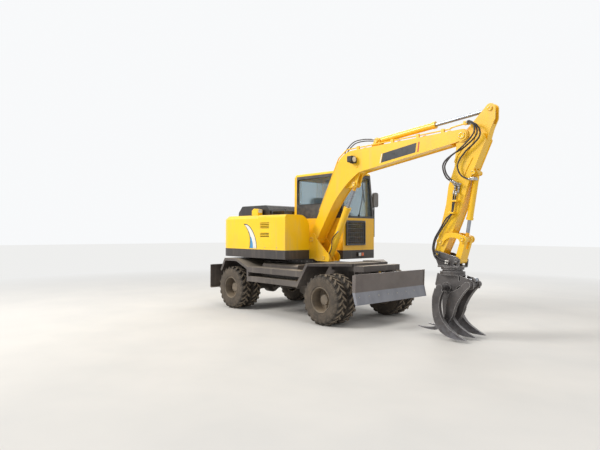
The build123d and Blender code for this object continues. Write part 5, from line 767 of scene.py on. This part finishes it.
# Two shut-off valves on the stick's side, with the lines that run down to the grab
bm = bmesh.new()
union = [(0, 0.019), (0.045, 0.019), (0.047, 0.014), (0.075, 0.014), (0.077, 0.018), (0.1, 0.018)]
for x, z in ((3423, 2322), (3480, 2305)):
    place = meet("stick", P(x, z, -0.9), (0, 1, 0)) or P(x, z, -0.325)
    base = place.y
    block(bm, P(x, z, base - 0.022), (0.052, 0.05, 0.05), bevel=0.005)
    lathe(bm, P(x + 8, z - 26, base - 0.024), (-0.14, 0, -1), union, 6)
    lathe(bm, P(x, z, base - 0.046), (0, -1, 0), [(0, 0.009), (0.016, 0.009), (0.018, 0.006)], 12)
    block(bm, P(x + 26, z + 4, base - 0.062), (0.075, 0.008, 0.014), bevel=0.003)
piece("shut_off_valves", bm, steel, "arm_stick")

down_y = -0.368
down = (
    ("hose_down_a", ((3415, 2210), (3398, 2050), (3373, 1884), (3283, 1798), (3185, 1650), (3090, 1500), (3054, 1370),
                     (3062, 1290), (3092, 1214), (3160, 1158), (3250, 1130), (3310, 1122)), 0.0),
    ("hose_down_b", ((3473, 2190), (3440, 2050), (3401, 1884), (3330, 1780), (3225, 1640), (3135, 1500), (3096, 1380),
                     (3106, 1300), (3140, 1240), (3200, 1192), (3280, 1166), (3335, 1158)), -0.030),
)
for name, route, shift in down:
    points = [P(x, z, down_y + shift) for x, z in route]
    made = hose(name, points)
    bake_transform(made)
    crimp(f"{name}_end_arm_stick", points, True, "arm_stick")
    crimp(f"{name}_end_head", points, False, "head")

# Clamps that hold the down lines to the stick
bm = bmesh.new()
for x, z in ((3387, 1884), (3435, 2060)):
    place = meet("stick", P(x - 40, z, -0.9), (0, 1, 0)) or P(x, z, -0.325)
    deep = (place.y + 0.418) + 0.004
    block(bm, P(x, z, place.y - deep / 2 + 0.002), (0.095, deep, 0.026), bevel=0.004)
    bolt(bm, P(x, z, place.y - deep + 0.002), (0, -1, 0), 0.008)
piece("hose_clamps_stick", bm, yellow, "arm_stick", smooth=False)

# Short head hoses between the tilt head and the grab's swivel
for name, route, side in (
    ("hose_head_a", ((3330, 1132), (3362, 1096), (3366, 1052), (3340, 1012)), -0.350),
    ("hose_head_b", ((3338, 1160), (3384, 1118), (3394, 1060), (3366, 1012)), -0.318),
):
    made = hose(name, [P(x, z, side) for x, z in route], 0.012, 10)
    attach(made, "head")

# The loops behind the stick cylinder and the hose along the boom cylinder
loop = ((1792, 3225), (1523, 3258), (1298, 3235), (1123, 3106), (1075, 3005))
for name, side, drop in (("hose_loop_a", -0.22, 0), ("hose_loop_b", -0.185, 26)):
    points = [P(x, z - drop, side) for x, z in loop]
    made = hose(name, points, 0.0095)
    crimp(f"{name}_end", points, True, "arm_boom", [0.0095 * share for share in CRIMP_SHARES])
    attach(made, "arm_boom")
points = [P(x, z, -0.306) for x, z in ((998, 1602), (905, 1520), (850, 1440), (834, 1301), (775, 1180), (690, 1105))]
made = hose("hose_boom_cylinder", points, 0.0105)
crimp("hose_boom_cylinder_end", points, True, "boom_barrel", [0.0105 * share for share in CRIMP_SHARES])
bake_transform(made)

# The plain black panel with a red bar on each side of the boom
side_y = meet("boom", P(2400, 2900, -0.9), (0, 1, 0)).y
corners_of_panel = ((2068, 2933), (2029, 2776), (2718, 2873), (2742, 3027))
bar = ((2752, 2874), (2778, 2878), (2802, 3036), (2776, 3032))
thin_bar = ((2000, 2772), (2016, 2774), (2055, 2931), (2039, 2929))


def plate_on_side(bm, outline, y_near, thick):
    near = [bm.verts.new(P(x, z, y_near - thick)) for x, z in outline]
    far = [bm.verts.new(P(x, z, y_near + 0.001)) for x, z in outline]
    bm.faces.new(near)
    bm.faces.new(far[::-1])
    for k in range(len(outline)):
        bm.faces.new((near[k], far[k], far[(k + 1) % len(outline)], near[(k + 1) % len(outline)]))
    bmesh.ops.recalc_face_normals(bm, faces=bm.faces)


for hand, word in SIDES:
    near = ARM_Y + hand * abs(side_y - ARM_Y) + (PRINT if hand > 0 else 0.0)
    for part, outline, material in (
        ("panel", corners_of_panel, panel_black), ("bar", bar, panel_red), ("edge", thin_bar, panel_white)
    ):
        bm = bmesh.new()
        plate_on_side(bm, outline, near, PRINT)
        piece(f"boom_{part}_{word}", bm, material, "arm_boom", smooth=False)

# The generic swoosh on each side of the body: a dark outline, white above, blue below
swoosh_outer = ((-1007, 1762), (-930, 1700), (-850, 1610), (-803, 1520), (-786, 1430), (-790, 1340), (-806, 1262),
                (-556, 1262), (-570, 1380), (-610, 1490), (-686, 1612), (-786, 1704), (-895, 1756))
swoosh_white = ((-962, 1738), (-884, 1672), (-806, 1580), (-762, 1470), (-748, 1360), (-756, 1264), (-572, 1264),
                (-586, 1380), (-626, 1486), (-700, 1602), (-796, 1690), (-890, 1738))
swoosh_blue = ((-770, 1450), (-758, 1508), (-722, 1450), (-692, 1360), (-680, 1264), (-782, 1264), (-768, 1350))
for hand, word in SIDES:
    for part, outline, material, lift in (
        ("edge", swoosh_outer, panel_black, 0.0),
        ("white", swoosh_white, panel_white, 0.0008),
        ("blue", swoosh_blue, panel_blue, 0.0016),
    ):
        bm = bmesh.new()
        plate_on_side(bm, outline, hand * (BODY_SIDE + lift) + (0.001 if hand > 0 else 0.0), 0.001)
        bmesh.ops.triangulate(bm, faces=bm.faces)
        piece(f"stripe_{part}_{word}", bm, material, "upper", smooth=False)


# The ribs welded on the stick's sides, and the lamp's bracket
def raised(names, outline, hand, thick):
    """A plate that lies on the side of what carries it, with a softened outer edge."""
    bm = bmesh.new()
    middle = Vector((sum(x for x, z in outline) / len(outline), 0, sum(z for x, z in outline) / len(outline)))
    base = meet(names, P(middle.x, middle.z, ARM_Y + hand * 0.6), (0, -hand, 0)).y
    inner = [bm.verts.new(P(x, z, base - hand * 0.001)) for x, z in outline]
    outer = [bm.verts.new(P(x, z, base + hand * thick * 0.7)) for x, z in outline]
    top = []
    for x, z in outline:
        away = Vector((middle.x - x, 0, middle.z - z)).normalized() * 3.0
        top.append(bm.verts.new(P(x + away.x, z + away.z, base + hand * thick)))
    count = len(outline)
    for a, b in ((inner, outer), (outer, top)):
        for k in range(count):
            bm.faces.new((a[k], a[(k + 1) % count], b[(k + 1) % count], b[k]))
    bm.faces.new(inner)
    bm.faces.new(top)
    bmesh.ops.recalc_face_normals(bm, faces=bm.faces)
    return bm


def ribbon(route, width):
    """The outline of a bar of even width along a smooth route in the side view."""
    line = curve_points([Vector((x, 0, z)) for x, z in route], 6)
    left, right_side = [], []
    for k, p in enumerate(line):
        along = (line[min(k + 1, len(line) - 1)] - line[max(k - 1, 0)]).normalized()
        across = Vector((-along.z, 0, along.x)) * width / 2
        left.append((p.x + across.x, p.z + across.z))
        right_side.append((p.x - across.x, p.z - across.z))
    return left + right_side[::-1]


ribs = (
    ((3668, 3190), (3716, 3060), (3700, 2930), (3610, 2800), (3520, 2690)),
    ((3545, 2870), (3500, 2810), (3440, 2740), (3408, 2640)),
    ((3690, 2700), (3610, 2560), (3550, 2440)),
)
for hand, word in SIDES:
    for number, route in enumerate(ribs):
        bm = bmesh.new()
        y = meet("stick", P(route[1][0], route[1][1], ARM_Y + hand * 0.6), (0, -hand, 0)).y
        outline = ribbon(route, 22)
        near = [bm.verts.new(P(x, z, y + hand * 0.012)) for x, z in outline]
        under = [bm.verts.new(P(x, z, y - hand * 0.001)) for x, z in outline]
        count = len(outline)
        for k in range(count):
            bm.faces.new((near[k], near[(k + 1) % count], under[(k + 1) % count], under[k]))
        half = count // 2
        for row in (near, under):
            for k in range(half - 1):
                bm.faces.new((row[k], row[k + 1], row[count - 2 - k], row[count - 1 - k]))
        bmesh.ops.recalc_face_normals(bm, faces=bm.faces)
        piece(f"stick_rib_{number}_{word}", bm, yellow, "arm_stick", smooth=False)
bm = raised("boom", ((1398, 2842), (1466, 2850), (1504, 2748), (1470, 2738)), -1, 0.010)
piece("lamp_bracket", bm, yellow, "arm_boom", smooth=False)

# Lamps: the boom's work lamp, the cluster on the deck's front and the lamp housing on the body
bm = bmesh.new()
low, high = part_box("work_lamp")
lens_at = Vector((high[0] - 0.004, (low[1] + high[1]) / 2, (low[2] + high[2]) / 2))
lathe(bm, lens_at, (1, 0, 0), [(0.0, 0.052), (0.007, 0.052), (0.009, 0.049), (0.012, 0.03), (0.013, 0)], 32)
piece("lens_boom", bm, lens_clear, "arm_boom")
bm = bmesh.new()
rim_line = [(-0.004, 0.057), (0.010, 0.057), (0.012, 0.0545), (0.010, 0.052), (0.0, 0.052)]
lathe(bm, lens_at, (1, 0, 0), rim_line, 32, caps=False)
piece("lens_ring_boom", bm, plastic, "arm_boom")
deck_lamps = (("clear", 0.400, lens_clear), ("orange", 0.482, lens_orange))
for word, y, material in deck_lamps:
    bm = bmesh.new()
    block(bm, (CAB_FRONT + 0.030, y, 1.160), (0.010, 0.070, 0.062), bevel=0.0035)
    piece(f"lens_deck_{word}", bm, material, "upper", smooth=False)
bm = bmesh.new()
block(bm, (CAB_FRONT + 0.027, 0.44, 1.160), (0.008, 0.176, 0.076), bevel=0.003)
piece("lamp_cluster_face", bm, plastic, "upper", smooth=False)
face = meet("body_lamps", (0.5, -0.70, 2.03), (-1, 0, 0))
if face is not None:
    bm = bmesh.new()
    block(bm, (face.x + 0.003, -0.70, 2.025), (0.010, 0.092, 0.070), bevel=0.0035)
    piece("lens_body", bm, lens_clear, "upper", smooth=False)


# Seat: a crowned cushion and back on the pedestal, with piping round the edge
def pad(bm, centre, size, rotate, crown):
    nx, ny, nz = 10, 10, 4
    made = {}
    for i in range(nx + 1):
        for j in range(ny + 1):
            for k in range(nz + 1):
                if i in (0, nx) or j in (0, ny) or k in (0, nz):
                    u, v, w = i / nx * 2 - 1, j / ny * 2 - 1, k / nz * 2 - 1
                    # Rounded plan and pillowed top and bottom
                    plan = (abs(u) ** 6 + abs(v) ** 6) ** (1 / 6)
                    pull = 1 - 0.035 * (1 - abs(u)) * (abs(v) > 0.99) - 0.035 * (1 - abs(v)) * (abs(u) > 0.99)
                    limit = max(abs(u), abs(v), 1e-6) / max(plan, 1e-6)
                    x = u * limit * size[0] / 2 * pull
                    y = v * limit * size[1] / 2 * pull
                    round_edge = 1 - 0.45 * max(0.0, max(abs(u), abs(v)) - 0.72) / 0.28
                    dome = (1 - u * u) * (1 - v * v)
                    channel = -0.006 * math.exp(-((abs(v) - 0.52) / 0.07) ** 2) * (w > 0)
                    z = w * size[2] / 2 * round_edge + (crown * dome * (w > 0.4)) + channel
                    made[i, j, k] = bm.verts.new(Vector(centre) + rotate @ Vector((x, y, z)))
    for fixed, count, others in ((0, nx, (ny, nz)), (1, ny, (nx, nz)), (2, nz, (nx, ny))):
        for end in (0, count):
            for a in range(others[0]):
                for b in range(others[1]):
                    keys = []
                    for da, db in ((0, 0), (1, 0), (1, 1), (0, 1)):
                        key = [0, 0, 0]
                        key[fixed] = end
                        rest = [n for n in range(3) if n != fixed]
                        key[rest[0]], key[rest[1]] = a + da, b + db
                        keys.append(made[tuple(key)])
                    bm.faces.new(keys)


bm = bmesh.new()
flat = Matrix.Rotation(math.radians(-3), 3, "Y")
lean = Matrix.Rotation(math.radians(-82), 3, "Y")
pad(bm, P(25, 1766, SEAT_Y), (0.47, 0.47, 0.115), flat, 0.020)
pad(bm, P(-228, 2070, SEAT_Y), (0.53, 0.46, 0.095), lean, 0.016)
bmesh.ops.recalc_face_normals(bm, faces=bm.faces)
cushions = piece("seat_cushions", bm, fabric)
smoother = cushions.modifiers.new("round", "SUBSURF")
smoother.levels = 1
smoother.render_levels = 1
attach(cushions, "upper")
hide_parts("operator_seat")
bm = bmesh.new()
block(bm, P(10, 1706, SEAT_Y), (0.44, 0.42, 0.016), bevel=0.004)
block(bm, P(-292, 2030, SEAT_Y), (0.53, 0.40, 0.014), lean, 0.004)
for hand in (-1, 1):
    arm = [P(x, z, SEAT_Y + hand * 0.20) for x, z in ((-215, 1720), (-262, 1780), (-292, 1900))]
    tube(bm, curve_points(arm, 6), 0.014, 10)
piece("seat_frame", bm, plastic, "upper", smooth=False)


# Cab: rubber seals round the panes, and a wiper
def seal(bm, corners_3d):
    """A rounded rubber strip round a pane, given its corners in order."""
    count = len(corners_3d)
    line = []
    cut = 0.035
    for k, here in enumerate(corners_3d):
        back_way = (corners_3d[k - 1] - here).normalized()
        onward = (corners_3d[(k + 1) % count] - here).normalized()
        line += [here + back_way * cut, here + (back_way + onward) * cut * 0.29, here + onward * cut]
    line += line[:2]
    tube(bm, line, 0.007, 8)


bm = bmesh.new()
seal(bm, [P(x, z, -0.061) for x, z in ((-390, 2160), (700, 2160), (700, 2685), (-390, 2685))])
seal(bm, [P(x, z, CAB_LEFT) for x, z in ((-420, 1950), (-170, 1950), (-170, 2685), (-420, 2685))])
seal(bm, [P(-481, 2150, 0.06), P(-481, 2150, 0.76), P(-481, 2685, 0.76), P(-481, 2685, 0.06)])


def screen_x(z):
    """X of the windscreen at a height, since it leans back."""
    return 900 - (z - 1870) * (100 / 875)


seal(bm, [P(screen_x(z), z, y) for z, y in ((1902, -0.008), (1902, 0.818), (2685, 0.818), (2685, -0.008))])
seal(bm, [P(901, 1352, 0.022), P(901, 1352, 0.558), P(901, 1808, 0.558), P(901, 1808, 0.022)])
piece("window_seals", bm, plastic, "upper")
bm = bmesh.new()
seal(bm, [P(x, z, CAB_LEFT) for x, z in ((-38, 1902), (688, 1902), (688, 2633), (-38, 2633))])
piece("door_seal", bm, plastic, "door")

bm = bmesh.new()
foot = P(screen_x(1930) + 14, 1930, 0.40)
tip = P(screen_x(2440) + 14, 2440, 0.60)
tube(bm, [foot, foot.lerp(tip, 0.5) + Vector((0.006, 0, 0)), tip], 0.007, 8)
blade_low = P(screen_x(2190) + 8, 2190, 0.60)
blade_high = P(screen_x(2600) + 8, 2600, 0.585)
tube(bm, [blade_low, blade_high], 0.008, 6)
lathe(bm, foot, (1, 0, 0.12), [(-0.014, 0.022), (0.010, 0.022), (0.014, 0.015)], 20)
piece("wiper", bm, plastic, "upper")

# Bolts on the counterweight, the housing, the cab's guard and the blade
bm = bmesh.new()
for y in (-0.72, -0.24, 0.24, 0.72):
    place = meet("counterweight", (-4.0, y, 1.40), (1, 0, 0))
    if place is not None:
        bolt(bm, place, (-1, 0, 0), 0.017)
for x, z in ((-640, 1290), (-300, 1290), (60, 1290), (-640, 1880), (-300, 1880)):
    place = meet("engine_housing right_tank", P(x, z, -1.6), (0, 1, 0))
    if place is not None:
        bolt(bm, place, (0, -1, 0), 0.009)
for y in (0.03, 0.55):
    for z in (1.36, 1.80):
        place = meet("cab_guard", (0.6, y, z), (-1, 0, 0))
        if place is not None:
            bolt(bm, place, (1, 0, 0), 0.009)
piece("body_bolts", bm, steel, "upper", smooth=False)
bm = bmesh.new()
for k in range(8):
    y = -0.90 + k * 1.8 / 7
    place = meet("dozer_blade", (1.9, y, 0.53), (-1, 0, 0))
    if place is not None:
        bolt(bm, place, (1, 0, 0.1), 0.013, 0.007)
piece("blade_bolts", bm, steel, "blade", smooth=False)

# Thin bars between the guard's main ones
bm = bmesh.new()
guard_x = -0.062 + 0.020
for k in range(9):
    y = 0.010 + (k + 0.5) * 0.560 / 9
    block(bm, (guard_x, y, 1.58), (0.007, 0.007, 0.430))
for k in range(6):
    z = 1.340 + (k + 0.5) * 0.480 / 6
    block(bm, (guard_x, 0.29, z), (0.007, 0.508, 0.007))
piece("guard_bars", bm, black_gloss, "upper", smooth=False)

# The door's lock, the fuel cap and the ring gear's bolts
bm = bmesh.new()
place = meet("cab_door", P(640, 1700, 1.6), (0, -1, 0))
if place is not None:
    block(bm, place + Vector((0, 0.006, 0)), (0.075, 0.012, 0.10), bevel=0.004)
    block(bm, place + Vector((0, 0.018, 0.008)), (0.018, 0.016, 0.085), bevel=0.004)
piece("door_lock", bm, plastic, "door", smooth=False)
bm = bmesh.new()
cap_at = meet("right_tank", P(90, 2600, -0.72), (0, 0, -1))
if cap_at is not None:
    turned = [(-0.004, 0.062), (0.012, 0.062), (0.016, 0.050), (0.034, 0.050), (0.040, 0.044), (0.041, 0)]
    lathe(bm, cap_at, (0, 0, 1), turned, 28)
piece("fuel_cap", bm, plastic, "upper", smooth=False)
bm = bmesh.new()
for k in range(28):
    a = 2 * math.pi * k / 28
    out_from = Vector((math.cos(a), math.sin(a), 0))
    bolt(bm, P(-60, 1022, 0.0) + out_from * 0.481, out_from, 0.008)
piece("ring_bolts", bm, steel, "chassis", smooth=False)

# Floor
bm = bmesh.new()
bmesh.ops.create_grid(bm, x_segments=1, y_segments=1, size=60)
floor = piece("floor", bm, floor_mat, smooth=False)
floor.location = (0, 0, -0.002)
